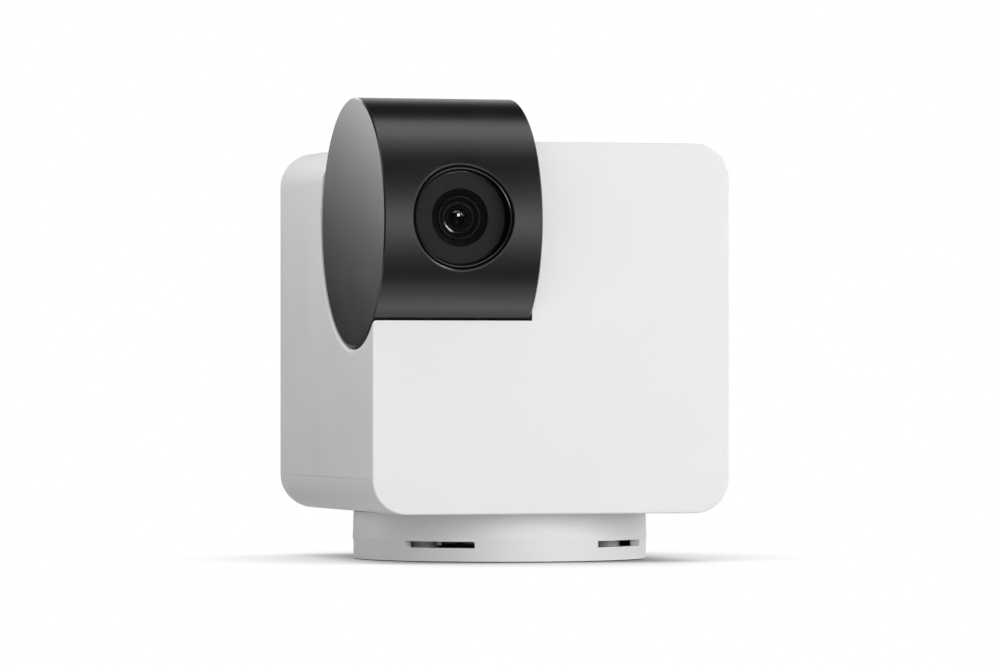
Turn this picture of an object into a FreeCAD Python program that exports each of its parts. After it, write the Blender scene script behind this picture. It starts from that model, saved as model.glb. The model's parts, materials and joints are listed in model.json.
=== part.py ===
import FreeCAD, Part
import math
import os

# A pan and tilt pet camera. A white housing turns on a low round base, and a black drum with the lens tilts
# in a round pocket in the housing's upper left front corner.
# All sizes are in millimetres. The origin is the pan axis on the surface that the camera stands on.
# +Z is up, the lens looks along -Y at rest, and the drum is on the -X side.

V = FreeCAD.Vector
X_AXIS = V(1, 0, 0)
Y_AXIS = V(0, 1, 0)
Z_AXIS = V(0, 0, 1)

# How far a cutting shape reaches past what it cuts, and how deep a boss roots in its wall
OVER = 1.0
ROOT = 0.5
LOOSE = 0.1
FLAT_END = 0.001

# Housing
BODY_WIDTH = 68.0
BODY_HEIGHT = 68.0
BODY_DEPTH = 74.9
FRONT_REACH = 35.0
BODY_BOTTOM = 9.05
CORNER_RADIUS = 6.5
BACK_RADIUS = 6.1
FRONT_EDGE_RADIUS = 0.35
WALL = 2.0
SEAM_GAP = 0.03
LIP_HEIGHT = 1.6
LIP_THICKNESS = 1.0
LIP_CLEARANCE = 0.1
LIP_ROOT = 0.3

# Drum
DRUM_INSET = 14.6
DRUM_RADIUS = 22.9
DRUM_LENGTH = 29.7
DRUM_RECESS = 0.15
DRUM_WALL = 1.8
DRUM_EDGE = 0.25
CAP_THICKNESS = 1.25
DRIVE_CAP_THICKNESS = 1.75
CAP_SPIGOT_LENGTH = 2.0
CAP_SPIGOT_WALL = 1.2
SPIGOT_CLEARANCE = 0.05
POCKET_GAP = 0.35
POCKET_WALL = 1.8
POCKET_EDGE_RADIUS = 0.8

# Base
BASE_TOP_RADIUS = 27.5
BASE_SKIRT_RADIUS = 27.68
TRAY_RADIUS = 27.55
TRAY_FOOT_RADIUS = 27.52
BASE_HEIGHT = 8.9
BASE_SEAM_HEIGHT = 3.8
BASE_WALL = 1.8
BASE_CEILING = 1.2
TRAY_BOTTOM = 0.15
TRAY_FLOOR = 1.2
PAD_RADIUS = 24.0
PAD_THICKNESS = 1.2
PAD_CLEARANCE = 0.1
SLOT_HEIGHT = 1.2
SLOT_ANGLE = 30.0
SLOT_OFFSET_ANGLE = 40.5

# Hub and pan gear
HUB_RADIUS = 9.0
HUB_BORE = 4.5
HUB_SPIGOT_RADIUS = 5.5
HUB_SPIGOT_HEIGHT = 1.4
RUNNING_CLEARANCE = 0.06
SEAT_CLEARANCE = 0.02
THRUST_GAP = 0.05
THRUST_RING_WIDTH = 3.0
WASHER_THICKNESS = 0.45
WASHER_RADIUS = 11.2

# Gears
MODULE = 0.5
PAN_GEAR_TEETH = 48
TILT_GEAR_TEETH = 40
PINION_TEETH = 12
GEAR_WIDTH = 2.6
PRESSURE_ANGLE = math.radians(20.0)
ADDENDUM = 0.75
DEDENDUM = 1.0
BACKLASH = 0.06
PINION_ANGLE_BELOW = 40.0

# Geared stepper motors
MOTOR_RADIUS = 10.0
MOTOR_HEIGHT = 13.0
MOTOR_EDGE = 0.8
MOTOR_SHAFT_OFFSET = 5.0
MOTOR_EAR_REACH = 14.0
MOTOR_EAR_RADIUS = 3.2
MOTOR_EAR_THICKNESS = 0.8
MOTOR_NOSE_RADIUS = 3.6
MOTOR_NOSE_HEIGHT = 0.6
MOTOR_SHAFT_RADIUS = 1.5
MOTOR_SHAFT_DEPTH = 3.0
GEAR_TO_MOTOR = 0.9
PINION_TIP_GAP = 0.3

# Tilt bearing
SHAFT_RADIUS = 6.0
SHAFT_BORE = 3.6
SHAFT_SEAT_RADIUS = 5.2
SHAFT_FLAT = 4.6
CLIP_GROOVE_RADIUS = 4.7
CLIP_RADIUS = 7.2
CLIP_THICKNESS = 0.8
CLIP_OPENING = 6.6
SHAFT_TAIL = 1.6
BUSH_WALL = 1.5
BUSH_FLANGE = 1.4
BUSH_FLANGE_THICKNESS = 0.6
BEARING_BOSS_WALL = 1.5
BEARING_LENGTH = 6.6
COLLAR_WIDTH = 1.2
GEAR_SIDE_GAP = 0.1

# Screws and posts
SCREW_SHANK = 0.85
SCREW_HEAD = 1.9
SCREW_HEAD_HEIGHT = 1.3
SCREW_HOLE = 1.15
PILOT = 0.87
HEAD_CLEARANCE = 0.25
RECESS_SPAN = 1.2
RECESS_WIDTH = 0.28
RECESS_DEPTH = 0.5
SMALL_SHANK = 0.6
SMALL_HEAD = 1.2
SMALL_HEAD_HEIGHT = 0.8
SMALL_HOLE = 0.8
SMALL_PILOT = 0.62
BOSS_RADIUS = 3.2
SMALL_BOSS_RADIUS = 2.6
BOSS_HEIGHT = 11.0
BOSS_FRONT_INSET = 5.0
BOSS_BACK_INSET = 9.8
BOSS_RIB = 1.2
COVER_SCREW_LENGTH = 9.0
COVER_SCREW_SEAT = 3.5
POST_RADIUS = 2.4
MOTOR_POST_RADIUS = 2.1
MOTOR_SCREW_LENGTH = 3.2
SCREW_END_GAP = 0.3

# Main board and what it carries
BOARD_TO_MOTOR = 0.4
BOARD_THICKNESS = 1.2
BOARD_WIDTH = 51.0
BOARD_FRONT_GAP = 11.0
BOARD_BACK_GAP = 1.9
BOARD_HOLE_INSET = 3.4
BOARD_CORNER = 2.0
USB_WIDTH = 8.94
USB_HEIGHT = 3.2
USB_DEPTH = 7.35
USB_METAL = 0.3
USB_CAVITY_DEPTH = 6.2
USB_TONGUE_WIDTH = 6.7
USB_TONGUE_THICKNESS = 0.7
USB_TONGUE_LENGTH = 5.0
USB_CLEARANCE = 0.2
PLUG_RECESS_WIDTH = 12.6
PLUG_RECESS_HEIGHT = 7.0
PLUG_RECESS_DEPTH = 1.0
BUTTON_X = 14.0
BUTTON_RADIUS = 1.7
BUTTON_RECESS = 0.45
BUTTON_TRAVEL = 0.6
BUTTON_EDGE = 0.3
BUTTON_HEIGHT_ON_BOARD = 2.3
SWITCH_WIDTH = 6.0
SWITCH_DEPTH = 3.7
SWITCH_WALL = 0.7
SWITCH_WALL_GAP = 1.65
SWITCH_CLEARANCE = 0.08
MIC_X = -14.0
MIC_HOLE_RADIUS = 0.6
MIC_WIDTH = 3.8
MIC_DEPTH = 2.8
MIC_HEIGHT = 1.1
MIC_SETBACK = 0.8
SHIELD_X = -12.0
SHIELD_Y = 3.0
SHIELD_WIDTH = 16.0
SHIELD_DEPTH = 14.0
SHIELD_HEIGHT = 1.8
SHIELD_EDGE = 0.5
PROCESSOR_X = 8.0
PROCESSOR_Y = -8.0
PROCESSOR_SIZE = 10.0
PROCESSOR_HEIGHT = 1.1
PROCESSOR_EDGE = 0.25
SOCKET_COUNT = 4
SOCKET_SETBACK = 0.8
SOCKET_FIRST = 10.0
SOCKET_SPACING = 9.0
SOCKET_WIDTH = 7.0
SOCKET_DEPTH = 4.0
SOCKET_HEIGHT = 3.8
SOCKET_WALL = 0.6
ANTENNA_BACK_INSET = 3.8
ANTENNA_DROP = 23.05
ANTENNA_LENGTH = 28.0
ANTENNA_HEIGHT = 8.0
ANTENNA_THICKNESS = 0.4

# Lens and camera module
LENS_RISE = 0.5
RECESS_RADIUS = 9.25
RECESS_EDGE = 0.45
BEZEL_CLEARANCE = 0.05
BEZEL_INSET = 0.35
BEZEL_EDGE = 0.12
BEZEL_BORE = 8.75
BEZEL_SEAT_BORE = 7.6
BEZEL_SEAT_THICKNESS = 1.0
GLASS_RADIUS = 8.35
GLASS_THICKNESS = 0.9
GLASS_DEPTH = 1.85
RING_BORE = 5.3
RING_THICKNESS = 0.2
BARREL_RADIUS = 3.85
BARREL_DEPTH = 1.4
BARREL_LENGTH = 9.0
BARREL_STEP_RADIUS = 2.9
BARREL_LIP = 0.35
LIGHT_PATH_RADIUS = 1.8
BARREL_STEP_DEPTH = 0.9
FRONT_LENS_RADIUS = 2.6
FRONT_LENS_RISE = 0.8
FRONT_LENS_RIM = 0.3
FRONT_LENS_THICKNESS = 1.6
HOLDER_SIZE = 12.0
HOLDER_LENGTH = 5.0
HOLDER_TAIL = 1.6
HOLDER_CORNER = 1.2
SENSOR_CLEARANCE = 0.2
SENSOR_WIDTH = 6.4
SENSOR_HEIGHT = 5.0
SENSOR_THICKNESS = 0.8
SENSOR_BOARD_WIDTH = 22.6
SENSOR_BOARD_HEIGHT = 17.4
SENSOR_BOARD_THICKNESS = 1.0
SENSOR_POST_X = 9.0
SENSOR_POST_Z = 6.5
SENSOR_POST_RADIUS = 1.7
IR_BOARD_RADIUS = 7.4
IR_BOARD_BORE = 4.4
IR_BOARD_THICKNESS = 0.8
IR_LAMP_COUNT = 6
IR_LAMP_SIZE = 1.6
IR_LAMP_HEIGHT = 0.7
IR_LAMP_RING = 6.5
DRUM_SCREW_INSET = 2.2
DRUM_SCREW_ANGLES = (90.0, 225.0, 315.0)
DRUM_COLUMN_RADIUS = 2.5
DRUM_SCREW_LENGTH = 8.0

# Base contents
SPEAKER_RADIUS = 8.5
SPEAKER_HEIGHT = 3.6
SPEAKER_Y = -15.8
SPEAKER_RIM_HEIGHT = 1.8
SPEAKER_MAGNET_RADIUS = 5.3
SPEAKER_CONE_RADIUS = 7.0
SPEAKER_DOME_RADIUS = 2.6
SPEAKER_CONE_DEPTH = 0.9
WEIGHT_INNER = 11.0
WEIGHT_CLEARANCE = 1.0
WEIGHT_THICKNESS = 3.2
WEIGHT_ANGLE = 150.0
BASE_SCREW_RING = 20.5
BASE_SCREW_ANGLES = (90.0, 210.0, 330.0)
BASE_SCREW_LENGTH = 4.2
TRAY_BOSS_HEIGHT = 1.4
GEAR_SCREW_RING = 7.3
GEAR_SCREW_ANGLES = (30.0, 150.0, 270.0)
GEAR_SCREW_LENGTH = 3.6

# Places worked out from the sizes above
BODY_TOP = BODY_BOTTOM + BODY_HEIGHT
Y_FRONT = -FRONT_REACH
Y_BACK = BODY_DEPTH - FRONT_REACH
FLOOR_TOP = BODY_BOTTOM + WALL
SPLIT = BODY_BOTTOM + CORNER_RADIUS
DRUM_Y = Y_FRONT + DRUM_INSET
DRUM_Z = BODY_TOP - DRUM_INSET
DRUM_AT = (DRUM_Y, DRUM_Z)
DRUM_LEFT = -BODY_WIDTH / 2 + DRUM_RECESS
DRUM_RIGHT = DRUM_LEFT + DRUM_LENGTH
NOTCH_X = DRUM_RIGHT + POCKET_GAP
NOTCH_INNER = NOTCH_X + WALL
POCKET_RADIUS = DRUM_RADIUS + POCKET_GAP
TUBE_LEFT = DRUM_LEFT + CAP_THICKNESS
TUBE_RIGHT = DRUM_RIGHT - DRIVE_CAP_THICKNESS
DRUM_BORE = DRUM_RADIUS - DRUM_WALL
DRUM_SCREW_RING = DRUM_BORE - DRUM_SCREW_INSET

TRAY_FLOOR_LOW = PAD_THICKNESS
TRAY_FLOOR_TOP = TRAY_FLOOR_LOW + TRAY_FLOOR
CEILING_LOW = BASE_HEIGHT - BASE_CEILING
TRAY_BOSS_TOP = TRAY_FLOOR_TOP + TRAY_BOSS_HEIGHT

WASHER_LOW = FLOOR_TOP + THRUST_GAP
HUB_TOP = WASHER_LOW + WASHER_THICKNESS + THRUST_GAP
GEAR_TOP = HUB_TOP + GEAR_WIDTH
PAN_CENTRES = MODULE * (PAN_GEAR_TEETH + PINION_TEETH) / 2
TILT_CENTRES = MODULE * (TILT_GEAR_TEETH + PINION_TEETH) / 2
PAN_MOTOR_Z = GEAR_TOP + GEAR_TO_MOTOR

BUSH_RADIUS = SHAFT_RADIUS + RUNNING_CLEARANCE + BUSH_WALL
BEARING_BOSS_RADIUS = BUSH_RADIUS + BEARING_BOSS_WALL
BEARING_END = NOTCH_X + BEARING_LENGTH
BUSH_END = BEARING_END + BUSH_FLANGE_THICKNESS
TILT_GEAR_LEFT = BUSH_END + GEAR_SIDE_GAP
TILT_GEAR_RIGHT = TILT_GEAR_LEFT + GEAR_WIDTH
SHAFT_END = TILT_GEAR_RIGHT + CLIP_THICKNESS + SHAFT_TAIL
TILT_MOTOR_X = TILT_GEAR_RIGHT + GEAR_TO_MOTOR + CLIP_THICKNESS
TILT_OUT = V(0, math.cos(math.radians(PINION_ANGLE_BELOW)), -math.sin(math.radians(PINION_ANGLE_BELOW)))

BOARD_HEIGHT = PAN_MOTOR_Z + MOTOR_HEIGHT + BOARD_TO_MOTOR
BOARD_TOP = BOARD_HEIGHT + BOARD_THICKNESS
BOARD_FRONT = Y_FRONT + WALL + BOARD_FRONT_GAP
BOARD_BACK = Y_BACK - WALL - BOARD_BACK_GAP
ANTENNA_BACK = Y_BACK - BACK_RADIUS - ANTENNA_BACK_INSET
ANTENNA_Z = BODY_TOP - ANTENNA_DROP
USB_Z = BOARD_TOP + USB_HEIGHT / 2
USB_END = Y_BACK - PLUG_RECESS_DEPTH - SPIGOT_CLEARANCE
BUTTON_Z = BOARD_TOP + BUTTON_HEIGHT_ON_BOARD
SWITCH_END = Y_BACK - WALL - SWITCH_WALL_GAP
SWITCH_FRONT = SWITCH_END - SWITCH_DEPTH
BUTTON_SEAT = SWITCH_FRONT + BUTTON_TRAVEL + SWITCH_WALL + LOOSE

LENS_X = (DRUM_LEFT + DRUM_RIGHT) / 2
LENS_Z = DRUM_Z + LENS_RISE
LENS_AT = (LENS_X, LENS_Z)
GLASS_FRONT = DRUM_Y - DRUM_RADIUS + GLASS_DEPTH
GLASS_BACK = GLASS_FRONT + GLASS_THICKNESS
RING_BACK = GLASS_BACK + RING_THICKNESS
BEZEL_BACK = RING_BACK + BEZEL_SEAT_THICKNESS
BARREL_FRONT = GLASS_FRONT + BARREL_DEPTH
BARREL_BACK = BARREL_FRONT + BARREL_LENGTH
HOLDER_BACK = BARREL_BACK + HOLDER_TAIL
HOLDER_FRONT = HOLDER_BACK - HOLDER_LENGTH
SENSOR_BOARD_FRONT = HOLDER_BACK
IR_BOARD_FRONT = BEZEL_BACK + IR_LAMP_HEIGHT


def rod(radius, low, high, axis, at):
    """A round bar along an axis, with its other two coordinates in at."""
    starts = {"x": V(low, *at), "y": V(at[0], low, at[1]), "z": V(at[0], at[1], low)}
    directions = {"x": X_AXIS, "y": Y_AXIS, "z": Z_AXIS}
    return Part.makeCylinder(radius, high - low, starts[axis], directions[axis])


def pipe(outer, inner, low, high, axis, at):
    return rod(outer, low, high, axis, at).cut(rod(inner, low - OVER, high + OVER, axis, at))


def block(x_low, x_high, y_low, y_high, z_low, z_high):
    return Part.makeBox(x_high - x_low, y_high - y_low, z_high - z_low, V(x_low, y_low, z_low))


def fuse(shapes):
    result = shapes[0]
    for shape in shapes[1:]:
        result = result.fuse(shape)
    return result.removeSplitter()


def on_circle(radius, degrees, centre=(0.0, 0.0)):
    turn = math.radians(degrees)
    return (centre[0] + radius * math.cos(turn), centre[1] + radius * math.sin(turn))


def place(shape, at, x_dir, z_dir):
    """Move a shape drawn at the origin so that its own X and Z axes lie along the directions given."""
    moved = shape.copy()
    y_dir = z_dir.cross(x_dir)
    moved.Placement = FreeCAD.Placement(at, FreeCAD.Rotation(x_dir, y_dir, z_dir, "ZXY"))
    return moved


def rounded_prism(width, height, radius, y_low, y_high, centre_z, centre_x=0.0):
    """A rounded rectangle in the XZ plane, drawn out along Y."""
    half_w = width / 2 - radius
    half_h = height / 2 - radius
    arcs = []
    for start, side_x, side_z in ((0, 1, 1), (90, -1, 1), (180, -1, -1), (270, 1, -1)):
        centre = (centre_x + side_x * half_w, centre_z + side_z * half_h)
        ends = [on_circle(radius, start + step, centre) for step in (0, 45, 90)]
        arcs.append([V(x, y_low, z) for x, z in ends])
    edges = []
    for index, points in enumerate(arcs):
        edges.append(Part.Arc(*points).toShape())
        following = arcs[(index + 1) % len(arcs)][0]
        if points[-1].distanceToPoint(following) > 1e-6:
            edges.append(Part.LineSegment(points[-1], following).toShape())
    face = Part.Face(Part.Wire(edges))
    return face.extrude(V(0, y_high - y_low, 0))


def edges_in_plane(shape, y):
    return [edge for edge in shape.Edges if all(abs(vertex.Y - y) < 1e-4 for vertex in edge.Vertexes)]


def housing_form(inset, front_inset):
    """The housing's outer form, or the same form drawn in by a wall."""
    form = rounded_prism(BODY_WIDTH - 2 * inset, BODY_HEIGHT - 2 * inset, CORNER_RADIUS - inset,
                         Y_FRONT + front_inset, Y_BACK - inset, (BODY_BOTTOM + BODY_TOP) / 2)
    return form.makeFillet(BACK_RADIUS - inset, edges_in_plane(form, Y_BACK - inset))


def screw(head, head_height, shank, length):
    """A cross-head screw: the underside of its head is at the origin and its shank points down."""
    solid = Part.makeCylinder(head, head_height).fuse(
        Part.makeCylinder(shank, length, V(0, 0, -length)))
    slot_length = head * RECESS_SPAN
    slot_width = head * RECESS_WIDTH
    slot_depth = head_height * RECESS_DEPTH
    for length_x, length_y in ((slot_length, slot_width), (slot_width, slot_length)):
        corner = V(-length_x / 2, -length_y / 2, head_height - slot_depth)
        solid = solid.cut(Part.makeBox(length_x, length_y, head_height, corner))
    return solid


def screw_group(points, x_dir, head_dir, sizes, length):
    """Equal screws in one node, each with its head's underside at a point."""
    head, head_height, shank = sizes
    one = screw(head, head_height, shank, length)
    return Part.makeCompound([place(one, point, x_dir, head_dir) for point in points])


SCREW = (SCREW_HEAD, SCREW_HEAD_HEIGHT, SCREW_SHANK)
SMALL_SCREW = (SMALL_HEAD, SMALL_HEAD_HEIGHT, SMALL_SHANK)


def involute(angle):
    return math.tan(angle) - angle


def gear(teeth, width, gap_first=False):
    """A spur gear on the Z axis. A tooth, or a gap if gap_first, is centred on +X."""
    pitch = MODULE * teeth / 2
    base = pitch * math.cos(PRESSURE_ANGLE)
    tip = pitch + ADDENDUM * MODULE
    root = pitch - DEDENDUM * MODULE
    foot = max(base, root)
    half_pitch_tooth = math.pi / (2 * teeth) - BACKLASH / (2 * pitch)

    def half_tooth(radius):
        return half_pitch_tooth + involute(PRESSURE_ANGLE) - involute(math.acos(min(1.0, base / radius)))

    def point(radius, angle):
        return V(radius * math.cos(angle), radius * math.sin(angle), 0)

    def flank(centre, side):
        radii = (foot, (foot + tip) / 2, tip)
        return [point(radius, centre + side * half_tooth(radius)) for radius in radii]

    step = 2 * math.pi / teeth
    first = step / 2 if gap_first else 0.0
    edges = []
    for index in range(teeth):
        centre = first + index * step
        rising = flank(centre, -1)
        falling = flank(centre, 1)[::-1]
        low_angle = half_tooth(foot)
        if foot > root:
            edges.append(Part.LineSegment(point(root, centre - low_angle), rising[0]).toShape())
        edges.append(Part.Arc(*rising).toShape())
        edges.append(Part.Arc(rising[-1], point(tip, centre), falling[0]).toShape())
        edges.append(Part.Arc(*falling).toShape())
        if foot > root:
            edges.append(Part.LineSegment(falling[-1], point(root, centre + low_angle)).toShape())
        edges.append(Part.Arc(point(root, centre + low_angle), point(root, centre + step / 2),
                              point(root, centre + step - low_angle)).toShape())
    return Part.Face(Part.Wire(edges)).extrude(V(0, 0, width))


# Base

def base_screw_points(z):
    return [V(*on_circle(BASE_SCREW_RING, angle), z) for angle in BASE_SCREW_ANGLES]


BASE_SEAT = TRAY_FLOOR_LOW + SMALL_HEAD_HEIGHT + LOOSE


def foot_pad():
    return rod(PAD_RADIUS, 0, PAD_THICKNESS, "z", (0, 0))


def base_tray():
    wall = Part.makeCone(TRAY_FOOT_RADIUS, TRAY_RADIUS, BASE_SEAM_HEIGHT - TRAY_BOTTOM,
                         V(0, 0, TRAY_BOTTOM))
    inside = rod(TRAY_RADIUS - BASE_WALL, TRAY_FLOOR_TOP, BASE_SEAM_HEIGHT + OVER, "z", (0, 0))
    pad_recess = rod(PAD_RADIUS + PAD_CLEARANCE, TRAY_BOTTOM - OVER, TRAY_FLOOR_LOW, "z", (0, 0))
    tray = wall.cut(inside)
    for point in base_screw_points(0):
        tray = tray.fuse(rod(SMALL_BOSS_RADIUS, TRAY_FLOOR_LOW, TRAY_BOSS_TOP, "z", (point.x, point.y)))
    tray = tray.cut(pad_recess)
    for point in base_screw_points(0):
        at = (point.x, point.y)
        tray = tray.cut(rod(SMALL_HEAD + HEAD_CLEARANCE, TRAY_BOTTOM, BASE_SEAT, "z", at))
        tray = tray.cut(rod(SMALL_HOLE, TRAY_BOTTOM, TRAY_BOSS_TOP + OVER, "z", at))
    for centre in (-90 - SLOT_OFFSET_ANGLE, -90 + SLOT_OFFSET_ANGLE, 90 - SLOT_OFFSET_ANGLE,
                   90 + SLOT_OFFSET_ANGLE):
        tray = tray.cut(slot_sector(centre))
    return tray.removeSplitter()


def slot_sector(centre):
    """The space of one slot, open at the seam above it."""
    inner = TRAY_RADIUS - BASE_WALL - ROOT
    outer = TRAY_RADIUS + OVER
    sector = Part.makeCylinder(outer, SLOT_HEIGHT + ROOT, V(0, 0, BASE_SEAM_HEIGHT - SLOT_HEIGHT),
                               Z_AXIS, SLOT_ANGLE)
    sector.rotate(V(0, 0, 0), Z_AXIS, centre - SLOT_ANGLE / 2)
    return sector.cut(rod(inner, 0, BASE_HEIGHT, "z", (0, 0)))


def base_top():
    height = BASE_HEIGHT - BASE_SEAM_HEIGHT
    skirt = Part.makeCone(BASE_SKIRT_RADIUS, BASE_TOP_RADIUS, height, V(0, 0, BASE_SEAM_HEIGHT))
    top = skirt.cut(rod(TRAY_RADIUS - BASE_WALL, BASE_SEAM_HEIGHT - OVER, CEILING_LOW, "z", (0, 0)))
    top = top.fuse(rod(HUB_RADIUS + THRUST_RING_WIDTH, CEILING_LOW, BODY_BOTTOM - THRUST_GAP, "z", (0, 0)))
    top = top.fuse(rod(HUB_RADIUS, CEILING_LOW, HUB_TOP, "z", (0, 0)))
    top = top.fuse(rod(HUB_SPIGOT_RADIUS, HUB_TOP, HUB_TOP + HUB_SPIGOT_HEIGHT, "z", (0, 0)))
    for point in base_screw_points(0):
        top = top.fuse(rod(SMALL_BOSS_RADIUS, TRAY_BOSS_TOP, CEILING_LOW, "z", (point.x, point.y)))
    top = top.cut(rod(HUB_BORE, CEILING_LOW - OVER, HUB_TOP + HUB_SPIGOT_HEIGHT + OVER, "z", (0, 0)))
    for point in base_screw_points(0):
        top = top.cut(rod(SMALL_PILOT, TRAY_BOSS_TOP - OVER, CEILING_LOW + LOOSE, "z", (point.x, point.y)))
    for point in gear_screw_points(0):
        top = top.cut(rod(SMALL_PILOT, HUB_TOP - GEAR_SCREW_LENGTH, HUB_TOP + OVER, "z",
                          (point.x, point.y)))
    return top.removeSplitter()


def base_screws():
    return screw_group(base_screw_points(BASE_SEAT), X_AXIS, -Z_AXIS, SMALL_SCREW, BASE_SCREW_LENGTH)


def speaker():
    """A round speaker lying face down on the tray: a rim, a magnet can and a shallow cone under it."""
    at = (0, SPEAKER_Y)
    rim = rod(SPEAKER_RADIUS, TRAY_FLOOR_TOP, TRAY_FLOOR_TOP + SPEAKER_RIM_HEIGHT, "z", at)
    magnet = rod(SPEAKER_MAGNET_RADIUS, TRAY_FLOOR_TOP, TRAY_FLOOR_TOP + SPEAKER_HEIGHT, "z", at)
    cone = Part.makeCone(SPEAKER_CONE_RADIUS, SPEAKER_DOME_RADIUS, SPEAKER_CONE_DEPTH,
                         V(0, SPEAKER_Y, TRAY_FLOOR_TOP))
    return rim.fuse(magnet).cut(cone)


def counterweight():
    outer = TRAY_RADIUS - BASE_WALL - WEIGHT_CLEARANCE
    plate = Part.makeCylinder(outer, WEIGHT_THICKNESS, V(0, 0, TRAY_FLOOR_TOP), Z_AXIS, WEIGHT_ANGLE)
    plate.rotate(V(0, 0, 0), Z_AXIS, 90 - WEIGHT_ANGLE / 2)
    plate = plate.cut(rod(WEIGHT_INNER, 0, BASE_HEIGHT, "z", (0, 0)))
    for point in base_screw_points(0):
        plate = plate.cut(rod(BOSS_RADIUS, 0, BASE_HEIGHT, "z", (point.x, point.y)))
    return plate


# Pan gear, fixed to the hub above the housing's floor

def gear_screw_points(z):
    return [V(*on_circle(GEAR_SCREW_RING, angle), z) for angle in GEAR_SCREW_ANGLES]


def pan_gear():
    wheel = place(gear(PAN_GEAR_TEETH, GEAR_WIDTH), V(0, 0, HUB_TOP), Y_AXIS, Z_AXIS)
    wheel = wheel.cut(rod(HUB_SPIGOT_RADIUS + SEAT_CLEARANCE, HUB_TOP - OVER, GEAR_TOP + OVER, "z", (0, 0)))
    for point in gear_screw_points(0):
        at = (point.x, point.y)
        wheel = wheel.cut(rod(SMALL_HOLE, HUB_TOP - OVER, GEAR_TOP + OVER, "z", at))
        wheel = wheel.cut(rod(SMALL_HEAD + HEAD_CLEARANCE, GEAR_TOP - SMALL_HEAD_HEIGHT, GEAR_TOP + OVER,
                              "z", at))
    return wheel


def pan_gear_screws():
    seat = GEAR_TOP - SMALL_HEAD_HEIGHT
    length = GEAR_SCREW_LENGTH + seat - HUB_TOP - SCREW_END_GAP
    return screw_group(gear_screw_points(seat), X_AXIS, Z_AXIS, SMALL_SCREW, length)


def pan_washer():
    return pipe(WASHER_RADIUS, HUB_RADIUS + LOOSE, WASHER_LOW, WASHER_LOW + WASHER_THICKNESS, "z", (0, 0))


# Motors. Each is drawn with its shaft on the Z axis, its mounting plane at z = 0 and its can above.

def motor():
    can_at = (MOTOR_SHAFT_OFFSET, 0)
    can = rod(MOTOR_RADIUS, 0, MOTOR_HEIGHT, "z", can_at)
    can = can.makeFillet(MOTOR_EDGE,
                         [edge for edge in can.Edges if abs(edge.CenterOfMass.z - MOTOR_HEIGHT) < 1e-4])
    ears = block(MOTOR_SHAFT_OFFSET - MOTOR_EAR_RADIUS, MOTOR_SHAFT_OFFSET + MOTOR_EAR_RADIUS,
                 -MOTOR_EAR_REACH, MOTOR_EAR_REACH, 0, MOTOR_EAR_THICKNESS)
    for side in (-1, 1):
        ear_at = (MOTOR_SHAFT_OFFSET, side * MOTOR_EAR_REACH)
        ears = ears.fuse(rod(MOTOR_EAR_RADIUS, 0, MOTOR_EAR_THICKNESS, "z", ear_at))
    nose = rod(MOTOR_NOSE_RADIUS, -MOTOR_NOSE_HEIGHT, MOTOR_EAR_THICKNESS, "z", (0, 0))
    solid = fuse([can, ears, nose])
    for side in (-1, 1):
        ear_at = (MOTOR_SHAFT_OFFSET, side * MOTOR_EAR_REACH)
        solid = solid.cut(rod(SMALL_HOLE, -1, MOTOR_EAR_THICKNESS + OVER, "z", ear_at))
    bearing = rod(MOTOR_SHAFT_RADIUS + RUNNING_CLEARANCE, -MOTOR_NOSE_HEIGHT - OVER,
                  MOTOR_SHAFT_DEPTH + LOOSE, "z", (0, 0))
    return solid.cut(bearing)


def motor_ears():
    return [V(MOTOR_SHAFT_OFFSET, side * MOTOR_EAR_REACH, 0) for side in (-1, 1)]


def motor_shaft(reach):
    return rod(MOTOR_SHAFT_RADIUS, -reach, MOTOR_SHAFT_DEPTH, "z", (0, 0))


def pinion():
    wheel = gear(PINION_TEETH, GEAR_WIDTH, gap_first=True)
    return wheel.cut(rod(MOTOR_SHAFT_RADIUS, -1, GEAR_WIDTH + OVER, "z", (0, 0)))


PAN_MOTOR_AT = V(0, PAN_CENTRES, PAN_MOTOR_Z)
TILT_MOTOR_AT = V(TILT_MOTOR_X, DRUM_Y, DRUM_Z) + TILT_OUT * TILT_CENTRES


def in_pan_motor(shape):
    return place(shape, PAN_MOTOR_AT, Y_AXIS, Z_AXIS)


def in_tilt_motor(shape):
    return place(shape, TILT_MOTOR_AT, TILT_OUT, X_AXIS)


def ear_points(at, x_dir, z_dir):
    y_dir = z_dir.cross(x_dir)
    return [at + x_dir * ear.x + y_dir * ear.y for ear in motor_ears()]


PAN_EARS = ear_points(PAN_MOTOR_AT, Y_AXIS, Z_AXIS)
TILT_EARS = ear_points(TILT_MOTOR_AT, TILT_OUT, X_AXIS)


def motor_screws(points, x_dir, head_dir):
    seats = [point + head_dir * MOTOR_EAR_THICKNESS for point in points]
    return screw_group(seats, x_dir, head_dir, SMALL_SCREW, MOTOR_SCREW_LENGTH)


# Housing

BOSS_X = BODY_WIDTH / 2 - CORNER_RADIUS - SCREW_HEAD - HEAD_CLEARANCE
BOSS_YS = (Y_FRONT + WALL + BOSS_FRONT_INSET, Y_BACK - BACK_RADIUS - BOSS_BACK_INSET)
BOSS_ATS = [(side * BOSS_X, y) for side in (-1, 1) for y in BOSS_YS]
POST_X = BOARD_WIDTH / 2 - BOARD_HOLE_INSET
POST_ATS = [(side * POST_X, y) for side in (-1, 1)
            for y in (BOARD_FRONT + BOARD_HOLE_INSET, BOARD_BACK - BOARD_HOLE_INSET)]


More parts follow.
